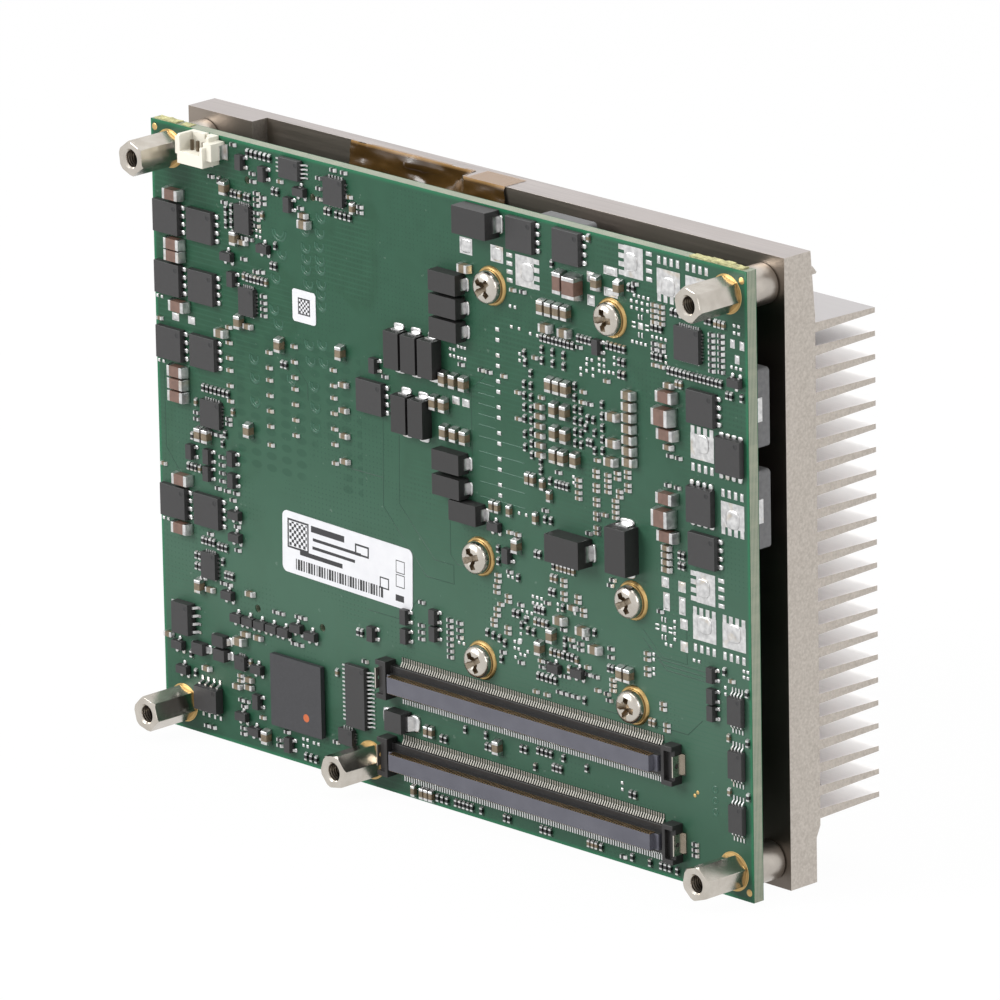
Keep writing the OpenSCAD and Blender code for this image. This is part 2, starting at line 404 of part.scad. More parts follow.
module circuit_board() color("seagreen") difference() {
    on_face() translate([0, 0, -board_t]) cube([board_l, board_h, board_t]);
    on_face() translate([0, 0, -board_t - 1]) for (p = hole_places) translate(p)
        cylinder(d = hole_d, h = board_t + 2);
    on_face() translate([0, 0, -board_t - 1]) spots(clamp_places) cylinder(d = hole_d, h = board_t + 2);
    on_face() translate([0, 0, -board_t - 1]) spots(tool_holes) cylinder(d = tool_hole_d, h = board_t + 2);
}

// The extruded section of the cooler, drawn in depth and height
module heatsink_section() {
    edge_y = root_y - edge_relief;
    fin_high = fin_low + (fin_count - 1) * fin_pitch;
    polygon([[plate_y, 0], [edge_y, 0], [edge_y, fin_low - fin_pitch], [root_y, fin_low - fin_pitch / 2],
        [root_y, fin_high + fin_pitch / 2], [edge_y, plate_h], [plate_y, plate_h]]);
    for (i = [0:fin_count - 1]) translate([0, fin_low + i * fin_pitch])
        polygon([[root_y - edge_relief, -fin_root / 2], [tip_y, -fin_tip / 2], [tip_y, fin_tip / 2],
            [root_y - edge_relief, fin_root / 2]]);
    // The hooked rib below the upper edge
    translate([edge_y - 0.1, plate_h - 3])
        polygon([[0, 0.6], [0.5, 0.6], [1.3, -0.4], [1.1, -0.6], [0, -0.6]]);
}

module heatsink() color("silver") difference() {
    union() {
        translate([-board_l / 2, 0, 0]) rotate([90, 0, 90]) linear_extrude(board_l) heatsink_section();
        on_back() spots(clamp_places) cylinder(d = boss_d, h = gap + seat);
        // Pedestals that reach down to the hot packages
        on_back() translate([0, 0, package_h + die_h + pad_t]) spots([processor_spot])
            slab(die_size[0] + 6, die_size[1] + 6, gap + seat - package_h - die_h - pad_t);
        on_back() translate([0, 0, package_h + pad_t]) spots([hub_spot])
            slab(hub_size[0], hub_size[1], gap + seat - package_h - pad_t);
    }
    // Recess for the memory, open at the upper edge
    on_back() translate([recess_x[0] * spread_x, recess_low * spread_y, gap - 1])
        cube([(recess_x[1] - recess_x[0]) * spread_x, plate_h - recess_low * spread_y + 1, recess_d + 1]);
    on_back() translate([0, 0, -1]) spots(clamp_places) cylinder(d = thread_d + 2 * thread_gap, h = gap + 3);
}

// Turned posts between the board and the plate, bored for the standoffs' studs
module board_posts() color("gainsboro")
    on_back() for (p = hole_places) translate([p[0], p[1], 0]) turned_post();
module turned_post() {
    bore_r = thread_d / 2 + thread_gap;
    side_r = post_d / 2;
    end_r = side_r - post_edge;
    rotate_extrude() polygon([[bore_r, 0], [end_r, 0], [side_r, post_edge], [side_r, gap - post_edge],
        [end_r, gap], [bore_r, gap]]);
}

// Hex standoffs with turned ends, and a stud through the board into the posts
module standoffs() color("gainsboro") {
    stud = board_t + gap - 1;
    length = standoff_l - seat;
    on_face() translate([0, 0, seat]) for (i = [0:4]) translate(hole_places[i]) difference() {
        union() {
            intersection() {
                rotate(hex_turns[i]) cylinder(d = hex_d, h = length, $fn = 6);
                turned_bar(length);
            }
            translate([0, 0, -stud]) cylinder(d = thread_d, h = stud + 1);
        }
        translate([0, 0, 2]) cylinder(d = thread_d, h = standoff_l);
        translate([0, 0, length - 0.35]) cylinder(d1 = thread_d, d2 = thread_d + 0.7, h = 0.36);
    }
}

// The round bar whose chamfered ends cut the corners off a standoff
module turned_bar(length) {
    chamfer = 0.2;
    end_r = standoff_af / 2 + 0.1;
    side_r = hex_d / 2 + 0.05;
    rotate_extrude() polygon([[0, 0], [end_r, 0], [side_r, chamfer], [side_r, length - chamfer],
        [end_r, length], [0, length]]);
}

// Pan-head screws with a domed head and a cross recess, seated on their lands
module clamp_screws() color("lightgray") {
    shank = board_t + gap - 1;
    dome = 0.55 * head_h;
    dome_r = (head_d * head_d / 4 + dome * dome) / (2 * dome);
    recess_w = 0.8;
    on_face() translate([0, 0, seat]) spots(clamp_places) difference() {
        union() {
            intersection() {
                cylinder(d = head_d, h = head_h);
                translate([0, 0, head_h - dome_r]) sphere(dome_r);
            }
            translate([0, 0, -shank]) cylinder(d = thread_d, h = shank + 0.3);
        }
        for (turn = [20, 110]) rotate(turn) translate([0, 0, head_h - 1.1]) slab(3, recess_w, 1.2);
    }
}

// Gold lands round the holes and the small round marks in three corners
module gold_lands() color("goldenrod") {
    on_face() for (p = hole_places) translate([p[0], p[1], 0]) land_ring();
    on_face() spots(clamp_places) land_ring();
    on_face() for (p = [[0.8, board_h - 1.2], [board_l - 1, board_h - 1.5], [board_l - 0.9, 1.4]])
        translate([p[0], p[1], 0]) cylinder(d = 1.1, h = seat);
    on_face() spots([[113.2, 13.8], [113.8, 14.4]]) cylinder(d = 0.6, h = seat);
}

module land_ring() difference() {
    cylinder(d = land_d, h = seat);
    translate([0, 0, -1]) cylinder(d = hole_d, h = 2);
}

// Tinned pads where no part is fitted
module solder_pads() color("whitesmoke") on_face() {
    spots(bare_transistor_spots) transistor_pads();
    spots([[67.55, 87.95], [74, 87.95]]) slab(2.6, 2.5, seat);
    spots([[97.5, 89.9], [97.5, 86.65]]) slab(2.8, 1.3, seat);
    spots([[107.8, 45.1], [111.2, 45.1], [111.5, 39.5], [111.5, 36.1], [93.4, 88.2], [93.4, 84.7]])
        slab(1.5, 1.6, seat);
    spots([[108, 42.2], [111.2, 42.2]]) slab(1.3, 2.7, seat);
    spots([[4.4, 64.9], [7.9, 65], [64.8, 63.9], [66.9, 63.9]]) slab(1.5, 1.2, seat);
    spots([[103.5, 82.8], [107.4, 38]]) flat_chip_pads();
    spots([[122.1, 83.8], [124, 83.8], [123, 81.6]]) slab(0.9, 1.3, seat);
    // Pairs of test pads in a column
    rows([[73.8, 52.8, 0, 3.95, 7, 0], [73.8, 51.2, 0, 3.95, 7, 0]]) slab(0.8, 0.6, seat);
    // Pairs of pads for small parts that are not fitted
    rows([[0.5, 67.5, 1, 0, 2, 0], [0.5, 57.4, 1, 0, 2, 0], [0.6, 32.6, 1, 0, 2, 0],
        [76.6, 80.6, 1, 0, 2, 0], [76.8, 77.5, 1.6, 0, 2, 0], [80.7, 77.2, 1.5, 0, 2, 0],
        [113.5, 34.5, 1, 0, 2, 0], [123.6, 35, 0.8, 0, 2, 0], [123.6, 34.1, 0.8, 0, 2, 0],
        [122.5, 86.6, 0.9, 0, 2, 0], [122.5, 85.5, 0.9, 0, 2, 0], [80.3, 37.1, 0.9, 0, 3, 0],
        [80.3, 36.1, 0.9, 0, 3, 0], [76.3, 29.3, 0.8, 0, 2, 0], [76.3, 28.3, 0.8, 0, 2, 0],
        [77.5, 27.6, 0.9, 0, 2, 0], [101.7, 86.3, 1.1, 0, 4, 0], [101.7, 85.3, 1.1, 0, 4, 0],
        [101.8, 80.2, 0.9, 0, 4, 0], [22.7, 81.8, 0.8, 0, 2, 0], [22.7, 80.9, 0.8, 0, 2, 0],
        [98.3, 12.4, 0, -1, 2, 0], [94.9, 76.2, 1, 0, 2, 0], [94.9, 75.3, 1, 0, 2, 0],
        [94.9, 74.4, 1, 0, 2, 0], [121.9, 80.3, 0.9, 0, 3, 0], [109.6, 39.5, 0, -0.9, 4, 0],
        [30.3, 4, 0.9, 0, 2, 0], [30.3, 3, 0.9, 0, 2, 0], [32.6, 3.9, 1, 0, 2, 0],
        [102.3, 87.2, 0.95, 0, 4, 0], [105.9, 81.7, 0.9, 0, 4, 0], [92.4, 75.7, 1, 0, 2, 0],
        [92.3, 74.9, 0, -1, 2, 0], [91.1, 74, 0, -0.9, 2, 0], [93.6, 74.4, 0, -1, 2, 0],
        [96.9, 74.6, 0.9, 0, 2, 0], [98, 77, 0, -1, 2, 0], [78.4, 73.7, 0, -1, 2, 0],
        [107.8, 35.7, 1, 0, 2, 0], [105.2, 33.6, 0, -0.8, 2, 0], [105.2, 31.4, 0, -0.8, 2, 0],
        [119.8, 31.7, 0, -1, 2, 0], [64.5, 26.6, 1, 0, 2, 0], [65.5, 72.3, 0.7, 0, 3, 0],
        [65.5, 70.6, 0.7, 0, 3, 0], [63.8, 71.6, 0.8, 0, 2, 0], [63.8, 70.6, 0.8, 0, 2, 0],
        [89.2, 57.2, 0, -0.9, 2, 0], [77.7, 49.3, 1.5, 0, 2, 0], [78, 34.4, 1, 0, 3, 0],
        [79.2, 33.6, 0, 0, 1, 0], [85.5, 37, 0, -0.9, 2, 0], [89, 36.3, 0, 0, 1, 0],
        [79, 28.3, 0, 0, 1, 0], [76.4, 26.9, 0, 0, 1, 0], [77.6, 30.8, 0, -1, 2, 0],
        [75.2, 39.1, 0.9, 0, 2, 0], [108.6, 79.2, 0, -0.9, 2, 0]]) slab(0.5, 0.5, seat);
}

// Pads of a power transistor: one large field with teeth, and four small ones
module transistor_pads() {
    translate([0.25, 0, 0]) slab(3.8, 4.7, seat);
    for (i = [-1.5:1.5]) translate([-2.2, i * 1.27, 0]) slab(1.2, 0.75, seat);
    for (i = [-1.5:1.5]) translate([3.4, i * 1.27, 0]) slab(1.2, 0.65, seat);
}

module flat_chip_pads() {
    slab(1, 1, seat);
    for (turn = [0:90:270]) rotate(turn) for (i = [-1, 1]) translate([1.35, i * 0.33, 0])
        slab(0.8, 0.28, seat);
}

// Base of one connector, with a block and an open frame at each end
module connector_base(y) {
    post_w = 0.75;
    wall = 0.6;
    on_face() spots([[connector_x, y]]) {
        slab(row_l + 3.6, base_w, base_h);
        for (end = [-1, 1]) {
            translate([end * (frame_l - post_l) / 2, 0, 0]) slab(post_l, frame_w, block_h);
            translate([end * (frame_l / 2 - post_l + wall / 2), 0, 0]) slab(wall, frame_w, frame_h);
            for (side = [-1, 1]) translate([end * (frame_l - post_l) / 2, side * (frame_w - post_w) / 2, 0])
                slab(post_l, post_w, frame_h);
        }
    }
}

// Insert of one connector: a long tongue with a low step at each end
module connector_insert(y) {
    step_l = 0.9;
    on_face() translate([0, 0, base_h]) spots([[connector_x, y]]) {
        slab(tongue_l - 2 * step_l, tongue_w, tongue_h - base_h);
        slab(tongue_l, tongue_w, 0.6 * (tongue_h - base_h));
    }
}

module upper_connector_base() color("dimgray") connector_base(upper_y);

module lower_connector_base() color("dimgray") connector_base(lower_y);

module upper_connector_insert() color("slategray") connector_insert(upper_y);

module lower_connector_insert() color("slategray") connector_insert(lower_y);

module connector_leads(y) {
    rise = 0.55;
    lead_t = 0.15;
    on_face() spots([[connector_x, y]]) for (side = [-1, 1]) for (i = [0:contact_count - 1])
        translate([i * contact_pitch - row_l / 2, side * base_w / 2, 0]) rotate(side * 90)
            straight_lead(lead_out - base_w / 2, rise, lead_w, lead_t);
}

module upper_connector_leads() color("silver") connector_leads(upper_y);

module lower_connector_leads() color("silver") connector_leads(lower_y);

// Contact strips along the upper half of both flanks of the tongues
module connector_contacts() color("peru") on_face() spots([[connector_x, upper_y], [connector_x, lower_y]])
    for (side = [-1, 1]) for (i = [0:contact_count - 1])
        translate([i * contact_pitch - row_l / 2, side * (tongue_w / 2 + seat), tongue_h - contact_l - 0.15])
            slab(lead_w, 2 * seat, contact_l);

// Metal brackets with a round window that hold each connector end to the board
module connector_hold_downs() color("gainsboro") on_face()
    spots([[connector_x, upper_y], [connector_x, lower_y]]) for (end = [0, 180]) rotate(end)
        translate([frame_l / 2, 0, 0]) difference() {
            rotate([90, 0, 0]) linear_extrude(3.2, center = true)
                polygon([[0, 0], [0.8, 0], [0.8, 0.2], [0.2, 0.2], [0.2, frame_h - 0.1],
                    [0, frame_h - 0.1]]);
            translate([-1, 0, 0.6 * frame_h]) rotate([0, 90, 0]) cylinder(d = 0.7, h = 2);
        }

// Upright fan header: thick front wall, low back wall with a slot, side steps
module fan_header_housing() color("ivory") on_face() spots([header_spot]) difference() {
    union() {
        difference() {
            slab(header_l, header_w, header_h);
            // The lower front of the right side wall
            translate([header_l / 2 - 1, 0.9, 0.6 * header_h]) cube([2, header_w, header_h]);
        }
        translate([0, 0.2, 0]) slab(header_l + 2.4, header_w - 1.8, 0.8 * header_h);
    }
    // The plug's way in, open at the board's edge and to the front
    translate([-header_l / 2 + header_wall, -header_w / 2 + header_back, header_floor])
        cube([header_l - 2 * header_wall, header_w, header_h]);
    translate([0.6, header_w / 2 - 0.8, -1]) cube([0.4, 2, header_h]);
    // Sloping front edge of the two side walls
    translate([0, header_w / 2, header_h]) rotate([0, 90, 0])
        cylinder(r = 0.25, h = header_l + 3, center = true, $fn = 4);
}
module fan_header_pins() color("gold") on_face() spots([header_spot]) for (i = [-1:1])
    translate([i * header_pin_pitch, -header_w / 2 + header_back + 0.8, 0.45 * header_h]) slab(0.4, 1.6, 0.4);

// Solder tabs at the header's two sides, and the pin tails below it
module fan_header_tabs() color("gainsboro") on_face() spots([header_spot]) {
    for (side = [-1, 1]) translate([side * (header_l / 2 + 1.2 + 0.4), 0, 0]) {
        slab(0.8, 2.4, 0.2);
        translate([-side * 0.3, 0, 0.2]) slab(0.2, 2.2, 1);
    }
    for (i = [-1:1]) translate([i * header_pin_pitch, -header_w / 2 - 0.3, 0]) slab(0.4, 0.6, 0.25);
}

module power_transistors() color("dimgray") on_face() spots(transistor_spots)
    moulded_body(5.6, 5, transistor_h, 0.12);

module transistor_leads() color("silver") on_face() spots(transistor_spots) {
    for (i = [-1.5:1.5]) translate([2.8, i * 1.27, 0]) gull_lead(0.75, 0.35, 0.55, 0.2);
    for (i = [-1.5:1.5]) translate([-3, i * 1.27, 0]) slab(0.4, 0.7, 0.2);
}

// Terminal strips that come down the ends of a moulded capacitor onto the board
module folded_terminals(l, w, h) {
    strip_t = 0.15;
    foot = 0.75;
    for (end = [0, 180]) rotate(end) translate([l / 2, 0, 0]) rotate([90, 0, 0])
        linear_extrude(0.58 * w, center = true)
            polygon([[0, 0], [foot, 0], [foot, strip_t], [strip_t, strip_t], [strip_t, 0.48 * h],
                [0, 0.48 * h]]);
}

module tantalum_capacitors() color("dimgray") on_face() {
    spots(moulded_spots) moulded_body(5.9, 3.1, moulded_h, 0.1);
    spots(tall_spots) moulded_body(7.2, 4.2, tall_h, 0.1);
}

module tantalum_terminals() color("gainsboro") on_face() {
    spots(moulded_spots) folded_terminals(5.9, 3.1, moulded_h);
    spots(tall_spots) folded_terminals(7.2, 4.2, tall_h);
}

module ceramic_capacitors() color("rosybrown") on_face() {
    spots(spots_1206) chip_body(size_1206);
    spots(spots_1210) chip_body(size_1210);
}

module ceramic_terminals() color("gainsboro") on_face() {
    spots(spots_1206) chip_ends(size_1206);
    spots(spots_1210) chip_ends(size_1210);
}

module medium_capacitors() color("tan") on_face() {
    rows(rows_0805) chip_body(size_0805);
    rows(rows_0603) chip_body(size_0603);
}

module medium_terminals() color("gainsboro") on_face() {
    rows(rows_0805) chip_ends(size_0805);
    rows(rows_0603) chip_ends(size_0603);
}

module small_capacitors() color("tan") on_face() rows(rows_small_capacitors)
    slab(size_0402[0], size_0402[1], size_0402[2]);

module small_resistors() color("black") on_face() rows(rows_small_resistors)
    slab(size_0402[0], size_0402[1], size_0402[2]);

module controller_chips() color("dimgray") on_face() for (c = flat_chips)
    spots([[c[0], c[1]]]) slab(c[2], c[3], flat_h);

// Short leads that show along all four sides of the flat chips
module controller_leads() color("silver") on_face() for (c = flat_chips) spots([[c[0], c[1]]])
    for (side = [0, 2]) {
        rotate(side * 90) side_leads(c[2], c[3], c[4]);
        rotate(side * 90 + 90) side_leads(c[3], c[2], c[4]);
    }

module side_leads(across, along, count) {
    pitch = (along - 0.8) / count;
    for (i = [0:count - 1]) translate([across / 2 + 0.15, (i - (count - 1) / 2) * pitch, 0])
        slab(0.3, 0.5 * pitch, 0.2);
}

module bridge_chip() color("dimgray") on_face() translate([0, 0, 0.25]) spots([bridge_spot])
    round_slab(bridge_size[0], bridge_size[1], 0.2, flat_h - 0.1);

module bridge_chip_balls() color("silver") on_face() spots([bridge_spot]) for (i = [-6:6]) for (j = [-6:6])
    if (abs(i) > 5 || abs(j) > 5) translate([i * 0.8, j * 0.8, 0]) cylinder(d = 0.4, h = 0.25, $fn = 8);

module driver_chips() color("dimgray") on_face() translate([0, 0, 0.1]) for (c = gull_chips)
    spots([[c[0], c[1], c[2]]]) moulded_body(c[4], c[3], (c[6] > 1 ? gull_h : flat_h), 0.15);

module driver_leads() color("silver") on_face() for (c = gull_chips) spots([[c[0], c[1], c[2]]])
    for (turn = [0, 180]) rotate(turn) for (i = [0:c[5] - 1])
        translate([c[4] / 2, (i - (c[5] - 1) / 2) * c[6], 0])
            gull_lead(gull_reach, (c[6] > 1 ? gull_h : flat_h) * 0.5 + 0.1, 0.38 * min(c[6], 1.1), 0.15);

// Small transistors with three leads
module small_transistors() color("dimgray") on_face() translate([0, 0, 0.1]) spots(sot_spots)
    rotate(90) moulded_body(1.4, 2.3, 0.95, 0.1);

module small_transistor_leads() color("silver") on_face() spots(sot_spots) {
    for (x = [-0.75, 0.75]) translate([x, -0.7, 0]) rotate(-90) gull_lead(0.55, 0.5, 0.4, 0.14);
    translate([0, 0.7, 0]) rotate(90) gull_lead(0.55, 0.5, 0.4, 0.14);
}

module diodes() color("dimgray") on_face() translate([0, 0, 0.05]) {
    spots(diode_spots) moulded_body(2.7, 1.8, 1.2, 0.12);
    spots([rectifier_spot]) moulded_body(3.9, 3.1, 2.1, 0.15);
}

module diode_leads() color("gainsboro") on_face() for (turn = [0, 180]) {
    spots(diode_spots) rotate(turn) translate([1.35, 0, 0]) gull_lead(0.75, 0.6, 1.1, 0.18);
    spots([rectifier_spot]) rotate(turn) translate([1.95, 0, 0]) gull_lead(1.8, 1.2, 2.3, 0.3);
}

module label(p, r) {
    on_face() spots([[p[0], p[1], p[4]]]) round_slab(p[2], p[3], r, label_t);
}

module identity_label() color("white") label(identity_place, 1);

module code_label() color("white") label(code_place, 0.5);

// Insulating tape in the recess, over the plate's upper edge and on its face beside the recess
module polyimide_tape() color("peru") {
    tape = 0.08;
    drop = 14;
    floor_y = plate_y + recess_d;
    left = 32.3 * spread_x - board_l / 2;
    wall = recess_x[1] * spread_x - board_l / 2;
    right = 68.3 * spread_x - board_l / 2;
    plate_back = root_y - edge_relief - 0.4;
    translate([left, floor_y, plate_h]) cube([right - left, plate_back - floor_y, tape]);
    translate([wall - tape, plate_y - tape, plate_h]) cube([right - wall + tape, recess_d + 2 * tape, tape]);
    translate([left, floor_y - tape, plate_h - drop]) cube([wall - left, tape, drop + tape]);
    translate([wall - tape, plate_y - tape, plate_h - drop]) cube([tape, recess_d, drop + tape]);
    translate([wall - tape, plate_y - tape, plate_h - drop]) cube([right - wall + tape, tape, drop + tape]);
}

module processor_substrate() color("darkgreen") on_back() spots([processor_spot])
    slab(processor_size[0], processor_size[1], package_h);

module processor_die() color("slategray") on_back() translate([0, 0, package_h]) spots([processor_spot])
    slab(die_size[0], die_size[1], die_h);

module processor_thermal_pad() color("lightpink") on_back() translate([0, 0, package_h + die_h])
    spots([processor_spot]) slab(die_size[0], die_size[1], pad_t);

module hub_package() color("dimgray") on_back() spots([hub_spot])
    slab(hub_size[0], hub_size[1], package_h);

module hub_thermal_pad() color("lightpink") on_back() translate([0, 0, package_h]) spots([hub_spot])
    slab(hub_size[0], hub_size[1], pad_t);

module memory_chips() color("dimgray") on_back()
    spots(memory_spots) slab(memory_size[0], memory_size[1], memory_h);

module memory_thermal_pad() color("lightpink") on_back() translate([0, 0, memory_h])
    spots(memory_spots)
        slab(memory_size[0] - 1, memory_size[1] - 1, gap + recess_d - memory_h);

module inner_inductors() color("gray") on_back() spots(inductor_spots)
    round_slab(inductor_size[0], inductor_size[1], 0.6, inductor_h);

module inductor_terminals() color("gainsboro") on_back() spots(inductor_spots) for (side = [-1, 1])
    translate([side * (inductor_size[0] / 2 + 0.1), 0, 0]) slab(0.2, 3.6, 0.4 * inductor_h);

circuit_board();
heatsink();
board_posts();
standoffs();
clamp_screws();
gold_lands();
solder_pads();
upper_connector_base();
upper_connector_insert();
upper_connector_leads();
lower_connector_base();
lower_connector_insert();
lower_connector_leads();
connector_contacts();
connector_hold_downs();
fan_header_housing();
fan_header_pins();
fan_header_tabs();
power_transistors();
transistor_leads();
tantalum_capacitors();
tantalum_terminals();
ceramic_capacitors();
ceramic_terminals();
medium_capacitors();
medium_terminals();
small_capacitors();
small_resistors();
controller_chips();
controller_leads();
bridge_chip();
bridge_chip_balls();
driver_chips();
driver_leads();
small_transistors();
small_transistor_leads();
diodes();
diode_leads();
identity_label();
code_label();
polyimide_tape();
processor_substrate();
processor_die();
processor_thermal_pad();
hub_package();
hub_thermal_pad();
memory_chips();
memory_thermal_pad();
inner_inductors();
inductor_terminals();
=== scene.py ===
"""Looks for the computer module: board finish, solder work, fasteners, connectors and cooler."""

import json
import math
import random
from collections import namedtuple

import bpy
import numpy as np
from mathutils import Matrix, Vector


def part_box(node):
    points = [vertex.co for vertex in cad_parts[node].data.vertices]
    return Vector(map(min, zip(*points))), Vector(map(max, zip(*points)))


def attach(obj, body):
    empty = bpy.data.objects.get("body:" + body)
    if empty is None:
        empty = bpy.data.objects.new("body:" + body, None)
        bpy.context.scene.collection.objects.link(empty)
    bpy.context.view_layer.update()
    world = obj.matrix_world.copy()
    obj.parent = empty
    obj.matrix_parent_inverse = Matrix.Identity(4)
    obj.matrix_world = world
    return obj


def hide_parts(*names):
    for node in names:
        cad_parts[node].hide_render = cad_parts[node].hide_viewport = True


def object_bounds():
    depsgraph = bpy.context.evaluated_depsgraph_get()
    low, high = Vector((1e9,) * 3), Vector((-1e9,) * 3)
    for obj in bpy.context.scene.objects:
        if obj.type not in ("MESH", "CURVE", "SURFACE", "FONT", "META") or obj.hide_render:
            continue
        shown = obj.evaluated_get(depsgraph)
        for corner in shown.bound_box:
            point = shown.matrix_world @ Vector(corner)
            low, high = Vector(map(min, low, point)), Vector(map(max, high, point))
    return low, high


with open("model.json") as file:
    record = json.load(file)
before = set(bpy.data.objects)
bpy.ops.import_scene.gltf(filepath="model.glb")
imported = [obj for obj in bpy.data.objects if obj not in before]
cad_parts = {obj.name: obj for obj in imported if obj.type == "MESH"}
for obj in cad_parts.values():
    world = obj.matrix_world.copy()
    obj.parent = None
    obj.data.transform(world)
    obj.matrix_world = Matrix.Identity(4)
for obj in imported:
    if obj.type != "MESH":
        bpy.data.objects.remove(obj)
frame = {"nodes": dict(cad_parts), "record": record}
cad_low, cad_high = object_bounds()
nodes = frame["nodes"]
mm = 0.001
dice = random.Random(12)

# Planes and corners of the board and the cooler, read from the frame
board_low, board_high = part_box("circuit_board")
face_y = board_low.y
back_y = board_high.y
plate_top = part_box("heatsink")[1].z
edge_relief = 1.2 * mm  # from the back of the plate's upper edge to the fins' root
fin_drop = 12.8 * mm  # from the plate's upper edge to the top fin
fin_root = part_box("polyimide_tape")[1].y + edge_relief
top_fin = plate_top - fin_drop


def on_face(x, y, turn=0.0, lift=0.0):
    """Matrix that sets a template on the connector side, in millimetres, with its z away from the board."""
    place = Vector((board_low.x + x * mm, face_y - lift * mm, board_low.z + y * mm))
    turned = Matrix.Rotation(math.radians(turn), 4, "Z")
    return Matrix.Translation(place) @ Matrix.Rotation(math.radians(90), 4, "X") @ turned


def middle_of(node):
    """Middle of a CAD node's box."""
    low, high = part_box(node)
    return (low + high) / 2


# Shader building

class Value:
    """A socket whose arithmetic adds Math nodes."""

    def __init__(self, finish, socket):
        self.finish = finish
        self.socket = socket

    def _math(self, operation, first, second=None):
        return self.finish.node("ShaderNodeMath", {"operation": operation}, {0: first, 1: second})

    def __add__(self, other):
        return self._math("ADD", self, other)

    def __sub__(self, other):
        return self._math("SUBTRACT", self, other)

    def __rsub__(self, other):
        return self._math("SUBTRACT", other, self)

    def __mul__(self, other):
        return self._math("MULTIPLY", self, other)

    def __gt__(self, other):
        return self._math("GREATER_THAN", self, other)

    def __lt__(self, other):
        return self._math("LESS_THAN", self, other)

    def modulo(self, other):
        return self._math("FLOORED_MODULO", self, other)

    def absolute(self):
        return self._math("ABSOLUTE", self)

    def least(self, other):
        return self._math("MINIMUM", self, other)

    def most(self, other):
        return self._math("MAXIMUM", self, other)

    __radd__ = __add__
    __rmul__ = __mul__


class Finish:
    """A material with one Principled shader; constants go straight onto its sockets."""

    def __init__(self, name, colour, roughness, metallic=0.0, **constants):
        self.material = bpy.data.materials.new(name)
        self.material.use_nodes = True
        self.tree = self.material.node_tree
        self.shader = self.tree.nodes["Principled BSDF"]
        self.put(self.shader, "Base Color", (*colour, 1.0))
        self.put(self.shader, "Roughness", roughness)
        self.put(self.shader, "Metallic", metallic)
        for socket, value in constants.items():
            self.put(self.shader, socket.replace("_", " "), value)
        self.place = self.node("ShaderNodeTexCoord", {}, {}, "Object")

    def put(self, node, socket, value):
        if isinstance(value, Value):
            self.tree.links.new(value.socket, node.inputs[socket])
        elif value is not None:
            node.inputs[socket].default_value = value

    def node(self, kind, settings, sockets, out=0):
        """Adds a node: its settings first, then its sockets, and gives one of its outputs."""
        made = self.tree.nodes.new(kind)
        for key, value in settings.items():
            setattr(made, key, value)
        for socket, value in sockets.items():
            self.put(made, socket, value)
        return Value(self, made.outputs[out])

    def stretched(self, scale):
        """Coordinates scaled along each axis."""
        sockets = {"Vector": self.place, "Scale": scale}
        return self.node("ShaderNodeMapping", {"vector_type": "POINT"}, sockets)

    def centred(self, place, turn=(0.0, 0.0, 0.0)):
        """Coordinates whose zero is at a place on the piece."""
        sockets = {"Vector": self.place, "Location": place, "Rotation": turn}
        return self.node("ShaderNodeMapping", {"vector_type": "TEXTURE"}, sockets)

    def noise(self, scale, detail=2.0, place=None):
        sockets = {"Vector": place or self.place, "Scale": scale, "Detail": detail}
        return self.node("ShaderNodeTexNoise", {}, sockets, "Fac")

    def mix(self, factor, first, second):
        """Blends two colours."""
        sockets = {"Factor": factor}
        for key, colour in ((6, first), (7, second)):
            sockets[key] = colour if isinstance(colour, Value) else (*colour, 1.0)
        return self.node("ShaderNodeMix", {"data_type": "RGBA"}, sockets, 2)

    def axes(self, place=None):
        split = self.node("ShaderNodeSeparateXYZ", {}, {"Vector": place or self.place})
        return [Value(self, output) for output in split.socket.node.outputs]

    def facing(self):
        """Components of the surface direction."""
        normal = self.node("ShaderNodeNewGeometry", {}, {}, "Normal")
        return self.axes(normal)

    def ramp(self, value, low, high):
        """A number that runs from 0 to 1 while the value runs from low to high."""
        sockets = {"Value": value, "From Min": low, "From Max": high}
        return self.node("ShaderNodeMapRange", {"clamp": True}, sockets)

    def feed(self, socket, value):
        self.put(self.shader, socket, value)

    def bump(self, height, strength, distance):
        sockets = {"Height": height, "Strength": strength, "Distance": distance}
        self.feed("Normal", self.node("ShaderNodeBump", {}, sockets))


def mottled(name, colour, roughness, metallic=0.0, spread=0.12, size=600.0, grain=0.0, fine=6000.0):
    """A finish whose tone and gloss wander a little, with an optional fine grain."""
    finish = Finish(name, colour, roughness, metallic)
    patches = finish.noise(size, 3.0)
    dark = [channel * (1 - spread) for channel in colour]
    pale = [min(1.0, channel * (1 + spread)) for channel in colour]
    finish.feed("Base Color", finish.mix(finish.ramp(patches, 0.3, 0.7), dark, pale))
    finish.feed("Roughness", patches * 0.16 + (roughness - 0.08))
    if grain:
        finish.bump(finish.noise(fine, 2.0), grain, 0.02 * mm)
    return finish


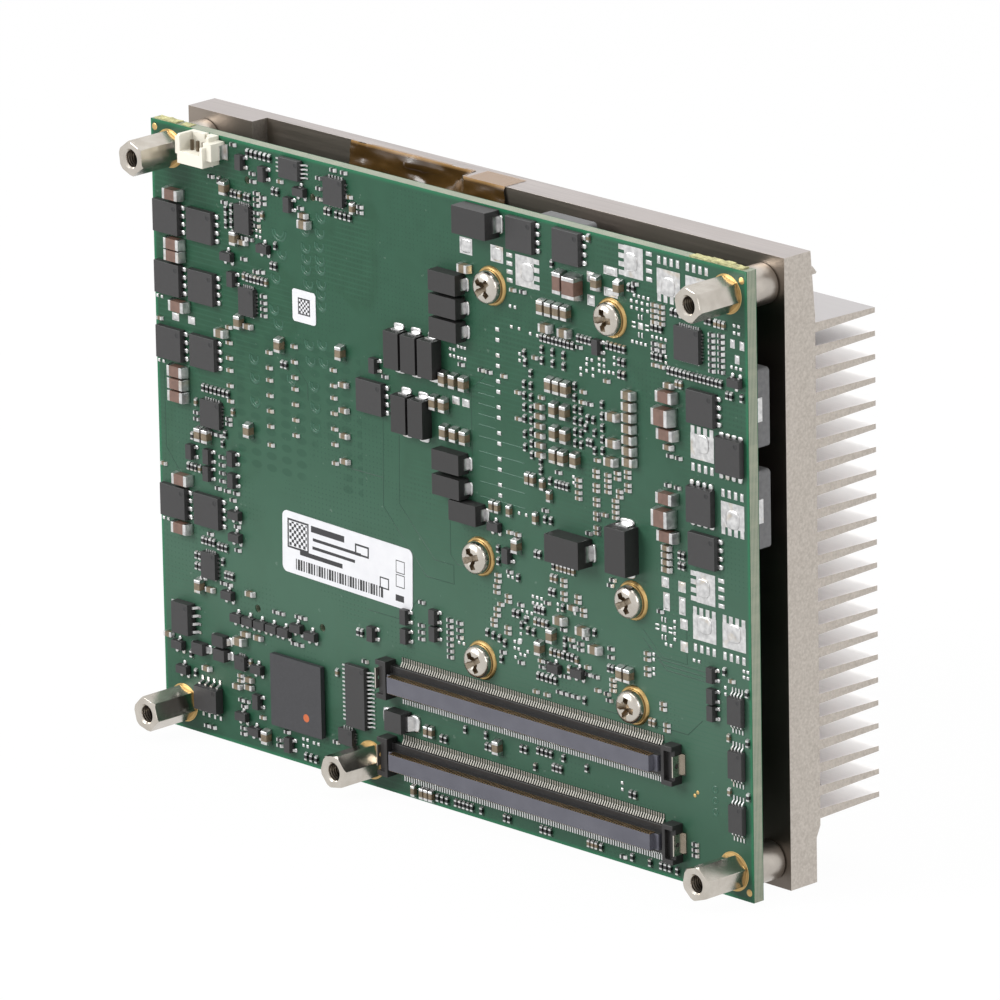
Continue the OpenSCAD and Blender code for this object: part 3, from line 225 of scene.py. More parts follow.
def board_finish():
    """Green solder mask over copper fields, dotted and ribbed by what lies under it, with painted sheen
    towards the right and low down, and a laminated edge.
    """
    finish = Finish("board_green", (0.012, 0.066, 0.036), 0.40, Specular_IOR_Level=0.29)
    x, y, z = finish.axes()
    cloth = finish.noise(420.0, 4.0)
    fields = finish.noise(60.0, 1.0)
    mask = finish.mix(finish.ramp(cloth, 0.3, 0.7), (0.0065, 0.052, 0.0235), (0.0115, 0.068, 0.033))
    mask = finish.mix(finish.ramp(fields, 0.50, 0.53) * 0.4, mask, (0.017, 0.078, 0.044))
    # Painted sheen: the mask is painted lighter and greyer towards the right.
    mask = finish.mix(finish.ramp(x, board_low.x, board_high.x) * 0.55, mask, (0.030, 0.086, 0.054))
    # Painted sheen: a lighter band low on the board, fading out towards the top and the very bottom.
    painted_sheen = finish.ramp(z, 66 * mm, 28 * mm) * finish.ramp(z, 4 * mm, 22 * mm)
    mask = finish.mix(painted_sheen * 0.6, mask, (0.060, 0.128, 0.088))
    pitch = 0.8 * mm
    right = x.modulo(pitch) - 0.5 * pitch
    up = z.modulo(pitch) - 0.5 * pitch
    dots = finish.ramp(right * right + up * up, (0.17 * mm) ** 2, (0.08 * mm) ** 2)
    dots = dots * finish.ramp(finish.noise(75.0, 2.0), 0.53, 0.57)
    ribs = finish.ramp(up.absolute(), 0.26 * mm, 0.34 * mm) * finish.ramp(fields, 0.47, 0.44)
    along = x - board_low.x
    upward = z - board_low.z
    lane_pitch = 3.3 * mm
    row_pitch = 1.85 * mm
    lane = (along.modulo(lane_pitch) - 0.5 * lane_pitch) * (1 / (1.2 * mm))
    row = (upward.modulo(row_pitch) - 0.5 * row_pitch) * (1 / (0.65 * mm))
    bay = ((along - 31 * mm).absolute() < 13.5 * mm) * ((upward - 55 * mm).absolute() < 11 * mm)
    patchy = finish.ramp(finish.noise(45.0, 1.0), 0.42, 0.47)
    humps = finish.ramp(lane * lane + row * row, 1.1, 0.6) * bay * patchy
    mask = finish.mix(humps * 0.35, mask, (0.005, 0.044, 0.023))
    mask = finish.mix(dots * 0.38, mask, (0.006, 0.036, 0.022))
    specks = finish.ramp(finish.noise(900.0, 2.0), 0.72, 0.76)
    mask = finish.mix(specks * 0.4, mask, (0.14, 0.20, 0.16))
    mask = finish.mix(ribs * 0.3, mask, (0.026, 0.100, 0.060))
    rim = along.least(board_high.x - x).least(upward.least(board_high.z - z))
    mask = finish.mix(finish.ramp(rim, 0.65 * mm, 0.15 * mm) * 0.8, mask, (0.010, 0.150, 0.065))
    across = (y - face_y) * (1 / (back_y - face_y))
    layer = (across * 7.0 + 0.2).modulo(1.0)
    edge = finish.mix(layer > 0.66, (0.300, 0.315, 0.245), (0.120, 0.180, 0.120))
    fibre = finish.noise(700.0, 4.0, finish.stretched((1.0, 0.25, 1.0)))
    edge = finish.mix(finish.ramp(fibre, 0.42, 0.72) * 0.5, edge, (0.34, 0.35, 0.26))
    edge = finish.mix((across - 0.5).absolute() > 0.44, edge, (0.020, 0.105, 0.050))
    finish.feed("Base Color", finish.mix(finish.facing()[1].absolute() > 0.5, edge, mask))
    finish.feed("Roughness", cloth * 0.16 + 0.32)
    finish.bump(finish.noise(1500.0, 3.0) * 0.6 + ribs * 0.5 + humps * 0.8 - dots * 0.8, 0.24, 0.03 * mm)
    return finish


def aluminium_finish():
    """Extruded aluminium: bright drawn fins, a duller milled plate and sawn ends, with painted shade on the
    top fin and on the inner side, whose painted reflection lightens towards its top.
    """
    finish = Finish("aluminium", (0.56, 0.53, 0.50), 0.36, 1.0)
    across, along, _ = finish.facing()
    _, depth, z = finish.axes()
    drawn = finish.noise(1.0, 4.0, finish.stretched((60.0, 5200.0, 5200.0)))
    cloud = finish.noise(55.0, 3.0)
    grain = finish.noise(2600.0, 3.0)
    plate = finish.mix(finish.ramp(drawn, 0.3, 0.7), (0.42, 0.385, 0.372), (0.53, 0.485, 0.47))
    plate = finish.mix(finish.ramp(cloud, 0.35, 0.7) * 0.35, plate, (0.40, 0.36, 0.34))
    fins = finish.mix(finish.ramp(drawn, 0.3, 0.7), (0.89, 0.86, 0.85), (0.97, 0.94, 0.93))
    fins = finish.mix(finish.ramp(depth, fin_root + 3 * mm, cad_high.y), fins, (0.94, 0.92, 0.91))
    # Painted shade: the top fin is painted darker, against the light that falls straight on it.
    fins = finish.mix(finish.ramp(z, top_fin - 1 * mm, top_fin), fins, (0.50, 0.48, 0.48))
    behind = finish.ramp(depth, fin_root - 0.2 * mm, fin_root + 0.2 * mm)
    tone = finish.mix(behind, plate, fins)
    # Painted shade and reflection: the side facing the board is painted dark, as the board reflected in it,
    # and painted lighter towards its top.
    inner = finish.mix(finish.ramp(cloud, 0.35, 0.7), (0.130, 0.110, 0.093), (0.195, 0.168, 0.145))
    inner = finish.mix(finish.ramp(z, plate_top - 9 * mm, plate_top - 1 * mm), inner, (0.28, 0.24, 0.205))
    tone = finish.mix(finish.ramp(along, -0.5, -0.8), tone, inner)
    end = finish.mix(finish.ramp(grain, 0.3, 0.7), (0.43, 0.388, 0.345), (0.56, 0.513, 0.463))
    finish.feed("Base Color", finish.mix(across.absolute() > 0.7, tone, end))
    finish.feed("Roughness", drawn * 0.16 + 0.32 + behind * 0.08)
    finish.bump(drawn * 0.7 + grain * 0.5, 0.12, 0.04 * mm)
    return finish


def tape_finish():
    """Amber film: dark brown where it stands, with a painted highlight along its upper edge, and clearer
    where it lies flat on metal, with painted light on those upward faces.
    """
    finish = Finish("tape_amber", (0.16, 0.078, 0.018), 0.24, Coat_Weight=0.3, Coat_Roughness=0.14)
    ripple = finish.noise(160.0, 3.0, finish.stretched((0.4, 1.0, 1.0)))
    tone = finish.mix(finish.ramp(ripple, 0.35, 0.7), (0.040, 0.019, 0.004), (0.115, 0.058, 0.014))
    # Painted highlight: a bright orange line along the film's upper edge.
    edge = finish.ramp(finish.axes()[2], plate_top - 0.5 * mm, plate_top - 0.1 * mm)
    tone = finish.mix(edge, tone, (0.42, 0.24, 0.09))
    # Where the film lies flat, the lower alpha lets the bright metal through; the lighter tone on these
    # upward faces is painted light.
    lying = finish.ramp(finish.facing()[2].absolute(), 0.5, 0.8)
    finish.feed("Base Color", finish.mix(lying, tone, (0.34, 0.205, 0.105)))
    finish.feed("Alpha", ripple * 0.2 + 0.80 - lying * 0.16)
    return finish


def solder_finish():
    """Tin that has set in dull and bright patches, with a trace of flux."""
    finish = Finish("solder", (0.62, 0.62, 0.62), 0.34, 1.0)
    patches = finish.noise(1300.0, 2.0)
    flux = finish.noise(420.0, 2.0)
    tone = finish.mix(finish.ramp(patches, 0.32, 0.68), (0.52, 0.52, 0.52), (0.72, 0.715, 0.71))
    tone = finish.mix(finish.ramp(flux, 0.60, 0.74) * 0.5, tone, (0.52, 0.42, 0.28))
    finish.feed("Base Color", tone)
    finish.feed("Roughness", patches * 0.3 + 0.20)
    finish.bump(finish.noise(2200.0, 2.0), 0.25, 0.03 * mm)
    return finish


def nickel_finish():
    """Bright turned nickel plate with fine tool marks."""
    finish = Finish("nickel", (0.55, 0.51, 0.455), 0.22, 1.0)
    turned = finish.noise(1.0, 3.0, finish.stretched((900.0, 7000.0, 900.0)))
    cloud = finish.noise(500.0, 2.0)
    tone = finish.mix(finish.ramp(cloud, 0.3, 0.7), (0.51, 0.47, 0.415), (0.59, 0.55, 0.495))
    finish.feed("Base Color", tone)
    finish.feed("Roughness", turned * 0.14 + 0.16)
    finish.bump(turned, 0.05, 0.01 * mm)
    return finish


def label_finish(name, middle, turn, marks, field, cell):
    """Matte label stock with a chequered field and plain marks: rules, bars and boxes."""
    finish = Finish(name, (0.66, 0.66, 0.68), 0.5)
    local = finish.centred(middle, (0.0, turn, 0.0))
    x, _, z = finish.axes(local)
    field_x, field_z, half = field
    cells = finish.node("ShaderNodeTexChecker", {}, {"Vector": local, "Scale": 1 / (cell * mm)}, "Fac")
    printed = cells * ((x - field_x * mm).absolute() < half * mm)
    printed = printed * ((z - field_z * mm).absolute() < half * mm)
    for mark_x, mark_z, half_l, half_h, line in marks:
        along = (x - mark_x * mm).absolute()
        upward = (z - mark_z * mm).absolute()
        mark = (along < half_l * mm) * (upward < half_h * mm)
        if line:
            inner = (along < (half_l - line) * mm) * (upward < (half_h - line) * mm)
            mark = mark - inner
        printed = printed.most(mark)
    grain = finish.ramp(finish.noise(500.0, 3.0), 0.3, 0.7)
    paper = finish.mix(grain, (0.64, 0.64, 0.665), (0.68, 0.68, 0.70))
    finish.feed("Base Color", finish.mix(printed, paper, (0.022, 0.022, 0.024)))
    finish.feed("Roughness", finish.noise(900.0, 2.0) * 0.16 + 0.42)
    return finish


def lead_finish(name, row):
    """Tinned connector leads: pale feet, duller above the tongue, and painted shade where they rise into the
    body.
    """
    finish = Finish(name, (0.40, 0.39, 0.37), 0.38, 1.0)
    patches = finish.noise(1500.0, 2.0)
    dull = finish.mix(patches, (0.32, 0.30, 0.27), (0.46, 0.44, 0.40))
    bright = finish.mix(patches, (0.52, 0.52, 0.52), (0.70, 0.70, 0.70))
    feet = finish.mix(finish.axes()[2] > row, bright, dull)
    # Painted shade: faces turned up, where the leads rise into the body, are painted nearly black.
    painted_riser_shade = finish.ramp(finish.facing()[2], 0.3, 0.6)
    finish.feed("Base Color", finish.mix(painted_riser_shade, feet, (0.035, 0.033, 0.030)))
    finish.feed("Roughness", patches * 0.2 + 0.34)
    return finish


def tongue_finish():
    """Blue-grey moulding, with painted shade: its sides behind the contacts are painted black."""
    finish = Finish("connector_grey", (0.088, 0.088, 0.108), 0.46)
    patches = finish.noise(300.0, 3.0)
    tone = finish.mix(finish.ramp(patches, 0.3, 0.7), (0.074, 0.074, 0.094), (0.094, 0.094, 0.116))
    # Painted shade: the faces turned up and down, the sides behind the contacts, are painted black.
    side = finish.ramp(finish.facing()[2].absolute(), 0.6, 0.8)
    finish.feed("Base Color", finish.mix(side, tone, (0.012, 0.012, 0.012)))
    finish.feed("Roughness", patches * 0.16 + 0.38)
    finish.bump(finish.noise(6000.0, 2.0), 0.10, 0.02 * mm)
    return finish


def bore_finish():
    """Threads in a bore painted dark as shade, with painted highlights on the flanks facing the bore's mouth
    and painted shade on the flanks facing in.
    """
    finish = Finish("shaded_bore_metal", (0.30, 0.26, 0.21), 0.34, 1.0)
    patches = finish.noise(1500.0, 2.0)
    # Painted light: flanks facing the mouth are painted bright, those facing in are painted dark.
    outward = finish.ramp(finish.facing()[1], 0.2, -0.5)
    tone = finish.mix(outward, (0.025, 0.019, 0.014), (0.46, 0.41, 0.35))
    finish.feed("Base Color", finish.mix(patches * 0.2, tone, (0.12, 0.10, 0.08)))
    finish.feed("Roughness", patches * 0.2 + 0.26)
    return finish


def bridge_finish(spot):
    """Black chip with one round orange mark in a corner."""
    finish = Finish("bridge_black", (0.040, 0.039, 0.038), 0.50)
    grain = finish.noise(2400.0, 3.0)
    black = finish.mix(finish.ramp(grain, 0.3, 0.7), (0.026, 0.026, 0.029), (0.035, 0.035, 0.039))
    offset = finish.centred(spot)
    distance = finish.node("ShaderNodeVectorMath", {"operation": "LENGTH"}, {0: offset}, "Value")
    finish.feed("Base Color", finish.mix(distance < 0.62 * mm, black, (0.50, 0.11, 0.028)))
    finish.feed("Roughness", grain * 0.16 + 0.42)
    finish.bump(finish.noise(9000.0, 2.0), 0.2, 0.02 * mm)
    return finish


# Marks: x, z, half length and half height in millimetres, and a line width, which is 0 for a filled mark
identity_marks = [(-4.2, 3.1, 3.6, 0.5, 0), (3.2, 2.2, 1.5, 0.9, 0.3), (-2.2, 1.5, 5.2, 0.24, 0),
                  (-2.9, 0.2, 4.6, 0.24, 0), (-5.6, -1.2, 4.6, 0.36, 0), (11.4, 1.6, 0.95, 1.0, 0.14),
                  (11.4, -0.6, 0.95, 1.0, 0.14), (-10.6, 1.4, 2.3, 2.3, 0.3), (8.0, -1.7, 1.0, 0.9, 0.22),
                  (11.3, -3.3, 0.9, 0.5, 0)]
identity_marks += [(-11 + 0.56 * bar, -3.2, 0.1 + 0.05 * (bar * 7 % 4), 0.85, 0) for bar in range(34)]
code_marks = [(0.0, 0.0, 1.3, 1.3, 0.2)]
bridge_middle = middle_of("bridge_chip")
bridge_spot = (bridge_middle.x + 2.2 * mm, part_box("bridge_chip")[0].y, bridge_middle.z - 3.0 * mm)

# Mottled ones: colour, roughness, metallic, spread and size of the patches, strength and size of the grain
finishes = {
    "board_green": board_finish(),
    "aluminium": aluminium_finish(),
    "tape_amber": tape_finish(),
    "nickel": nickel_finish(),
    "gold": mottled("gold", (0.54, 0.37, 0.155), 0.42, 1.0, 0.10, 900.0, 0.06),
    "contact_gold": mottled("contact_gold", (0.30, 0.20, 0.11), 0.40, 1.0, 0.15, 900.0),
    "solder": solder_finish(),
    "connector_black": mottled("connector_black", (0.016, 0.015, 0.015), 0.46, 0.0, 0.15, 500.0, 0.10),
    "connector_grey": tongue_finish(),
    "ivory_plastic": mottled("ivory_plastic", (0.71, 0.68, 0.59), 0.42, 0.0, 0.04, 400.0, 0.05),
    "black_moulding": mottled("black_moulding", (0.026, 0.025, 0.0255), 0.50, 0.0, 0.12, 2400.0, 0.2, 9000.0),
    "brown_ceramic": mottled("brown_ceramic", (0.150, 0.085, 0.064), 0.40, 0.0, 0.14, 1200.0, 0.10),
    "tan_ceramic": mottled("tan_ceramic", (0.160, 0.122, 0.076), 0.40, 0.0, 0.22, 1500.0, 0.10),
    "resistor_black": mottled("resistor_black", (0.012, 0.012, 0.013), 0.34, 0.0, 0.10, 2000.0),
    "label_white": label_finish("label_white", middle_of("identity_label"), math.radians(1.4), identity_marks,
                                (-10.6, 1.4, 1.9), 0.5),
    "substrate_green": mottled("substrate_green", (0.05, 0.16, 0.09), 0.45),
    "die_silicon": mottled("die_silicon", (0.20, 0.21, 0.24), 0.20),
    "pad_grey": mottled("pad_grey", (0.40, 0.36, 0.38), 0.70),
    "inductor_grey": mottled("inductor_grey", (0.12, 0.12, 0.122), 0.55, 0.0, 0.14, 1500.0, 0.30, 7000.0),
}
code_paper = label_finish("code_white", middle_of("code_label"), 0.0, code_marks, (0.0, 0.0, 1.1), 0.36)
bridge_black = bridge_finish(bridge_spot)
groove_green = mottled("groove_green", (0.007, 0.044, 0.025), 0.45, 0.0, 0.15, 900.0)
ridge_green = mottled("ridge_green", (0.018, 0.086, 0.050), 0.32, 0.0, 0.12, 900.0)
upper_lead = lead_finish("upper_lead", middle_of("upper_connector_base").z)
lower_lead = lead_finish("lower_lead", middle_of("lower_connector_base").z)
pin_metal = mottled("pin_metal", (0.16, 0.13, 0.095), 0.40, 1.0, 0.15, 900.0)
post_metal = mottled("post_metal", (0.47, 0.43, 0.385), 0.32, 1.0, 0.10, 500.0)
shaded_bore_metal = bore_finish()
# Painted shade: darker metal for the inside of the screws' cross recesses.
shaded_recess_metal = mottled("shaded_recess_metal", (0.30, 0.25, 0.19), 0.34, 1.0, 0.30, 2500.0)
tantalum_black = mottled("tantalum_black", (0.017, 0.016, 0.016), 0.48, 0.0, 0.12, 2400.0, 0.2, 9000.0)
bare_laminate = mottled("bare_laminate", (0.42, 0.40, 0.20), 0.62, 0.0, 0.35, 900.0, 0.5, 3000.0)

for subpart in frame["record"]["subparts"]:
    node = nodes[subpart["node"]]
    node.data.materials.clear()
    node.data.materials.append(finishes[subpart["material_slot"]].material)
own_finishes = {"code_label": code_paper, "bridge_chip": bridge_black, "board_posts": post_metal,
                "upper_connector_leads": upper_lead, "lower_connector_leads": lower_lead,
                "tantalum_capacitors": tantalum_black, "fan_header_pins": pin_metal}
for name, finish in own_finishes.items():
    nodes[name].data.materials.clear()
    nodes[name].data.materials.append(finish.material)


# Modelling by hand

def only(piece):
    bpy.ops.object.select_all(action="DESELECT")
    piece.select_set(True)
    bpy.context.view_layer.objects.active = piece


def block(name, size, middle=(0.0, 0.0, 0.0)):
    """Adds a cube and brings it to its size and place in millimetres."""
    bpy.ops.object.select_all(action="DESELECT")
    bpy.ops.mesh.primitive_cube_add(size=1.0)
    piece = bpy.context.object
    piece.name = name
    bpy.ops.object.mode_set(mode="EDIT")
    bpy.ops.transform.resize(value=[side * mm for side in size], center_override=(0.0, 0.0, 0.0))
    bpy.ops.transform.translate(value=[step * mm for step in middle])
    bpy.ops.object.mode_set(mode="OBJECT")
    return piece


def pick(piece, test, kind="FACE"):
    """Enters edit mode with the faces or points whose middle, in millimetres, and direction pass a test."""
    mesh = piece.data
    groups = {"VERT": mesh.vertices, "EDGE": mesh.edges, "FACE": mesh.polygons}
    for group in groups.values():
        group.foreach_set("select", [False] * len(group))
    for item in groups[kind]:
        middle = item.center if kind == "FACE" else item.co
        item.select = test(middle / mm, item.normal)
    bpy.context.tool_settings.mesh_select_mode = [kind == key for key in groups]
    bpy.ops.object.mode_set(mode="EDIT")


def done():
    bpy.ops.object.mode_set(mode="OBJECT")


def apply(piece, kind, **settings):
    """Adds a modifier and applies it."""
    only(piece)
    modifier = piece.modifiers.new(kind.lower(), kind)
    for key, value in settings.items():
        setattr(modifier, key, value)
    bpy.ops.object.modifier_apply(modifier=modifier.name)


def drawn(name, profile):
    """Draws a profile of radius and height in millimetres by extruding one point; stays in edit mode."""
    bpy.ops.object.select_all(action="DESELECT")
    bpy.ops.mesh.primitive_plane_add(size=mm)
    piece = bpy.context.object
    piece.name = name
    bpy.context.tool_settings.mesh_select_mode = (True, False, False)
    bpy.ops.object.mode_set(mode="EDIT")
    bpy.ops.mesh.merge(type="CENTER")
    bpy.ops.transform.translate(value=(profile[0][0] * mm, 0.0, profile[0][1] * mm))
    for (r0, z0), (r1, z1) in zip(profile, profile[1:]):
        step = ((r1 - r0) * mm, 0.0, (z1 - z0) * mm)
        bpy.ops.mesh.extrude_region_move(TRANSFORM_OT_translate={"value": step})
    return piece


def spun(name, profile, steps, smooth=40):
    """Turns a profile of radius and height, in millimetres, round the z axis."""
    piece = drawn(name, profile)
    bpy.ops.mesh.select_all(action="SELECT")
    bpy.ops.mesh.spin(steps=steps, angle=2 * math.pi, center=(0.0, 0.0, 0.0), axis=(0.0, 0.0, 1.0))
    bpy.ops.mesh.select_all(action="SELECT")
    bpy.ops.mesh.remove_doubles(threshold=0.001 * mm)
    bpy.ops.mesh.normals_make_consistent(inside=False)
    done()
    bpy.ops.object.shade_smooth_by_angle(angle=math.radians(smooth))
    return piece


def coat(piece, *coats):
    """Gives a piece its finishes, the first one all over."""
    piece.data.materials.clear()
    for finish in coats:
        piece.data.materials.append(finish.material)


def keep(piece, slot, *replaced):
    """Attaches a finished piece to the root body and hides the CAD nodes it stands for; its slot is not used.
    """
    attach(piece, "root")
    if replaced:
        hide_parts(*replaced)


def set_out(template, places, name, slot, *replaced):
    """Copies a template to its places, each copy with its own mesh, and joins the copies into one piece."""
    copies = []
    for place in places:
        copy = template.copy()
        copy.data = template.data.copy()
        copy.data.transform(place)
        bpy.context.scene.collection.objects.link(copy)
        copies.append(copy)
    bpy.data.objects.remove(template)
    bpy.ops.object.select_all(action="DESELECT")
    for copy in copies:
        copy.select_set(True)
    bpy.context.view_layer.objects.active = copies[0]
    bpy.ops.object.join()
    piece = copies[0]
    piece.name = name
    keep(piece, slot, *replaced)
    return piece


Solid = namedtuple("Solid", "x y wide high deep")


def islands(node):
    """Middle on the board and size of each separate solid in a CAD node, in millimetres."""
    mesh = nodes[node].data
    points = np.empty(3 * len(mesh.vertices))
    mesh.vertices.foreach_get("co", points)
    points = points.reshape(-1, 3)
    shared = np.unique(np.round(points * 1e6).astype(np.int64), axis=0, return_inverse=True)[1].reshape(-1)
    mesh.calc_loop_triangles()
    corners = np.empty(3 * len(mesh.loop_triangles), dtype=np.int64)
    mesh.loop_triangles.foreach_get("vertices", corners)
    corners = shared[corners].reshape(-1, 3)
    label = np.arange(shared.max() + 1)
    while True:
        lowest = label[corners].min(axis=1)
        before = label.copy()
        for corner in range(3):
            np.minimum.at(label, corners[:, corner], lowest)
        if (before == label).all():
            break
    found = []
    for number in np.unique(label):
        part = points[label[shared] == number]
        low = part.min(axis=0) / mm
        high = part.max(axis=0) / mm
        middle = (low + high) / 2
        size = high - low
        x = middle[0] - board_low.x / mm
        y = middle[2] - board_low.z / mm
        found.append(Solid(x, y, size[0], size[2], size[1]))
    return found


# Small chips with metal caps

def chip_part(name, length, width, height, cap, body):
    """A chip resistor or capacitor: a body between two metal caps, and solder that climbs their ends."""
    piece = block(name, (length, width, height), (0, 0, height / 2))
    bpy.ops.object.mode_set(mode="EDIT")
    for side in (-1, 1):
        bpy.ops.mesh.select_all(action="SELECT")
        cut = (side * (length / 2 - cap) * mm, 0, 0)
        bpy.ops.mesh.bisect(plane_co=cut, plane_no=(1, 0, 0))
    done()
    toe = 0.16 + 0.1 * height
    for side in (-1, 1):
        pick(piece, lambda middle, normal: normal.x * side > 0.9)
        bpy.ops.mesh.extrude_region_move(TRANSFORM_OT_translate={"value": (side * toe * mm, 0, 0)})
        bpy.ops.transform.resize(value=(1, 1.1, 0.22), center_override=(0, 0, 0))
        done()
    coat(piece, body, finishes["solder"])
    for face in piece.data.polygons:
        face.material_index = int(abs(face.center.x) > (length / 2 - cap) * mm)
    # The smallest chips are repeated too often to be bevelled
    if height > 0.6:
        apply(piece, "BEVEL", width=0.07 * mm, segments=1, limit_method="ANGLE", angle_limit=math.radians(50))
    return piece


def small_chips():
    """Dresses the smallest resistors and capacitors, found where the frame has them."""
    for node, slot in (("small_resistors", "resistor_black"), ("small_capacitors", "tan_ceramic")):
        places = [on_face(chip.x, chip.y, 0 if chip.wide > chip.high else 90) for chip in islands(node)]
        template = chip_part(node + "_template", 1.0, 0.52, 0.42, 0.24, finishes[slot])
        set_out(template, places, node + "_dressed", slot, node)


def capped_chips():
    """Dresses the larger ceramic capacitors, two sizes of each kind: body, caps and solder in one."""
    medium = ("medium_capacitors", "medium_terminals", "tan_ceramic")
    large = ("ceramic_capacitors", "ceramic_terminals", "brown_ceramic")
    kinds = {medium: [(2.0, 1.25, 1.2, 0.45), (1.6, 0.8, 0.75, 0.35)],
             large: [(3.2, 1.65, 1.5, 0.55), (3.2, 2.5, 2.0, 0.55)]}
    near = 0.05
    for (node, terminals, slot), sizes in kinds.items():
        solids = islands(node)
        for index, (length, width, height, cap) in enumerate(sizes):
            between = length - 2 * cap
            places = []
            for x, y, wide, high, deep in solids:
                if abs(deep - height) > near:
                    continue
                along = abs(wide - between) < near and abs(high - width) < near
                places.append(on_face(x, y, 0 if along else 90))
            name = "%s_%d" % (node, index + 1)
            template = chip_part(name + "_template", length, width, height, cap, finishes[slot])
            replaced = (node, terminals) if index == 0 else ()
            set_out(template, places, name, slot, *replaced)


# Solder

# A pad whose shorter side is longer than this, in millimetres, is an empty transistor field
field_side = 4.0


def pillow(name):
    """A unit lump of solder with round edges, cut off at the board."""
    piece = block(name, (1, 1, 2))
    apply(piece, "BEVEL", width=0.3 * mm, segments=2, limit_method="NONE")
    bpy.ops.object.mode_set(mode="EDIT")
    bpy.ops.mesh.select_all(action="SELECT")
    bpy.ops.mesh.bisect(plane_co=(0, 0, 0), plane_no=(0, 0, 1), clear_inner=True)
    done()
    bpy.ops.object.shade_smooth_by_angle(angle=math.radians(60))
    coat(piece, finishes["solder"])
    return piece


def solder_lumps():
    """Rounded solder on the empty pads and round the feet of the leads."""
    places = []
    for pad in islands("solder_pads"):
        if min(pad.wide, pad.high) > field_side:
            continue
        fill, rise = (1.0, 0.16) if max(pad.wide, pad.high) < 1 else (0.82, 0.1)
        places.append(on_face(pad.x, pad.y) @ Matrix.Diagonal((fill * pad.wide, fill * pad.high, rise, 1)))
    set_out(pillow("pad_template"), places, "pad_solder", "solder")
    feet = []
    margins = {"transistor_leads": (0.2, 1.1), "tantalum_terminals": (0.3, 0.25),
               "small_transistor_leads": (0.2, 0.5), "diode_leads": (0.3, 0.4)}
    for node, (margin, share) in margins.items():
        for x, y, wide, high, deep in islands(node):
            feet.append(on_face(x, y) @ Matrix.Diagonal((wide + margin, high + margin, share * deep, 1)))
    set_out(pillow("foot_template"), feet, "lead_solder", "solder")


def transistor_puddles():
    """The raised solder left in the middle of each empty transistor field."""
    places = []
    for pad in islands("solder_pads"):
        if min(pad.wide, pad.high) > field_side:
            turned = on_face(pad.x, pad.y, dice.choice((0, 90)))
            places.append(turned @ Matrix.Diagonal((2.9, 2.7, 0.26, 1)))
    template = pillow("puddle_template")
    apply(template, "SUBSURF", levels=1, render_levels=1)
    set_out(template, places, "field_puddles", "solder")


# Fasteners

def cross_bar(turn, length, width, depth):
    """A tapered bar, its top above the screw head, that cuts one arm of a cross recess."""
    top = 2.55
    bar = block("recess_bar", (length, width, depth), (0, 0, top - depth / 2))
    pick(bar, lambda place, normal: place.z < top - depth / 2, "VERT")
    bpy.ops.transform.resize(value=(0.4, 0.6, 1.0), center_override=(0, 0, 0))
    done()
    bar.data.transform(Matrix.Rotation(math.radians(turn), 4, "Z"))
    return bar


def screws():
    """Domed pan heads with a deep cross recess, painted darker inside as shade."""
    profile = [(0, 2.2), (0.9, 2.17), (1.6, 2.07), (2.05, 1.88), (2.35, 1.58), (2.48, 1.25), (2.52, 0.9),
               (2.52, 0.45), (2.4, 0.28), (0, 0.28)]
    head = spun("screw_template", profile, 40, 35)
    arm = (4.1, 1.1, 1.5)
    wing = (2.9, 0.6, 0.9)
    for turn, size in ((22, arm), (112, arm), (67, wing), (157, wing)):
        bar = cross_bar(turn, *size)
        apply(head, "BOOLEAN", object=bar, operation="DIFFERENCE", solver="EXACT")
        bpy.data.objects.remove(bar)
    bpy.ops.object.shade_smooth_by_angle(angle=math.radians(35))
    coat(head, finishes["nickel"], shaded_recess_metal)
    # Faces inside the cross recess get the darker metal, as painted shade.
    for face in head.data.polygons:
        middle = face.center / mm
        face.material_index = int(0.6 < middle.z < 1.95 and math.hypot(middle.x, middle.y) < 1.8)
    places = [on_face(screw.x, screw.y, dice.uniform(-30, 30)) for screw in islands("clamp_screws")]
    set_out(head, places, "screw_heads", "nickel", "clamp_screws")


def hex_standoffs():
    """Hex standoffs with chamfered ends and countersunk bores, each turned as it was tightened."""
    across_flats = 4.8
    foot = 0.06
    chamfer = 0.3
    bore_r = 1.25
    bore_end = 1.5
    length = (face_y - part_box("standoffs")[0].y) / mm
    corner = across_flats / 2 / math.cos(math.radians(30))
    body = spun("standoff_template", [(0, foot), (corner, foot), (corner, length), (0, length)], 6, 30)
    apply(body, "BEVEL", width=0.06 * mm, segments=2, limit_method="ANGLE", angle_limit=math.radians(50))
    turned = [(0, foot), (2.5, foot), (2.8, chamfer), (2.8, length - chamfer), (2.5, length), (0, length)]
    mouth = length + 0.03
    bore = [(0, bore_end), (bore_r, bore_end), (bore_r, length - chamfer), (1.58, mouth), (0, mouth)]
    for profile, operation in ((turned, "INTERSECT"), (bore, "DIFFERENCE")):
        cutter = spun("standoff_cutter", profile, 48)
        apply(body, "BOOLEAN", object=cutter, operation=operation, solver="EXACT")
        bpy.data.objects.remove(cutter)
    bpy.ops.object.shade_flat()
    coat(body, finishes["nickel"])
    turns = {(4, 91): 37, (4, 4): 45, (45, 4): 10, (121, 91): 44, (121, 4): 18}
    spots = [(round(standoff.x), round(standoff.y)) for standoff in islands("standoffs")]
    places = [on_face(*spot, turns[spot]) for spot in spots]
    set_out(body, places, "hex_standoffs", "nickel", "standoffs")
    threads(places)


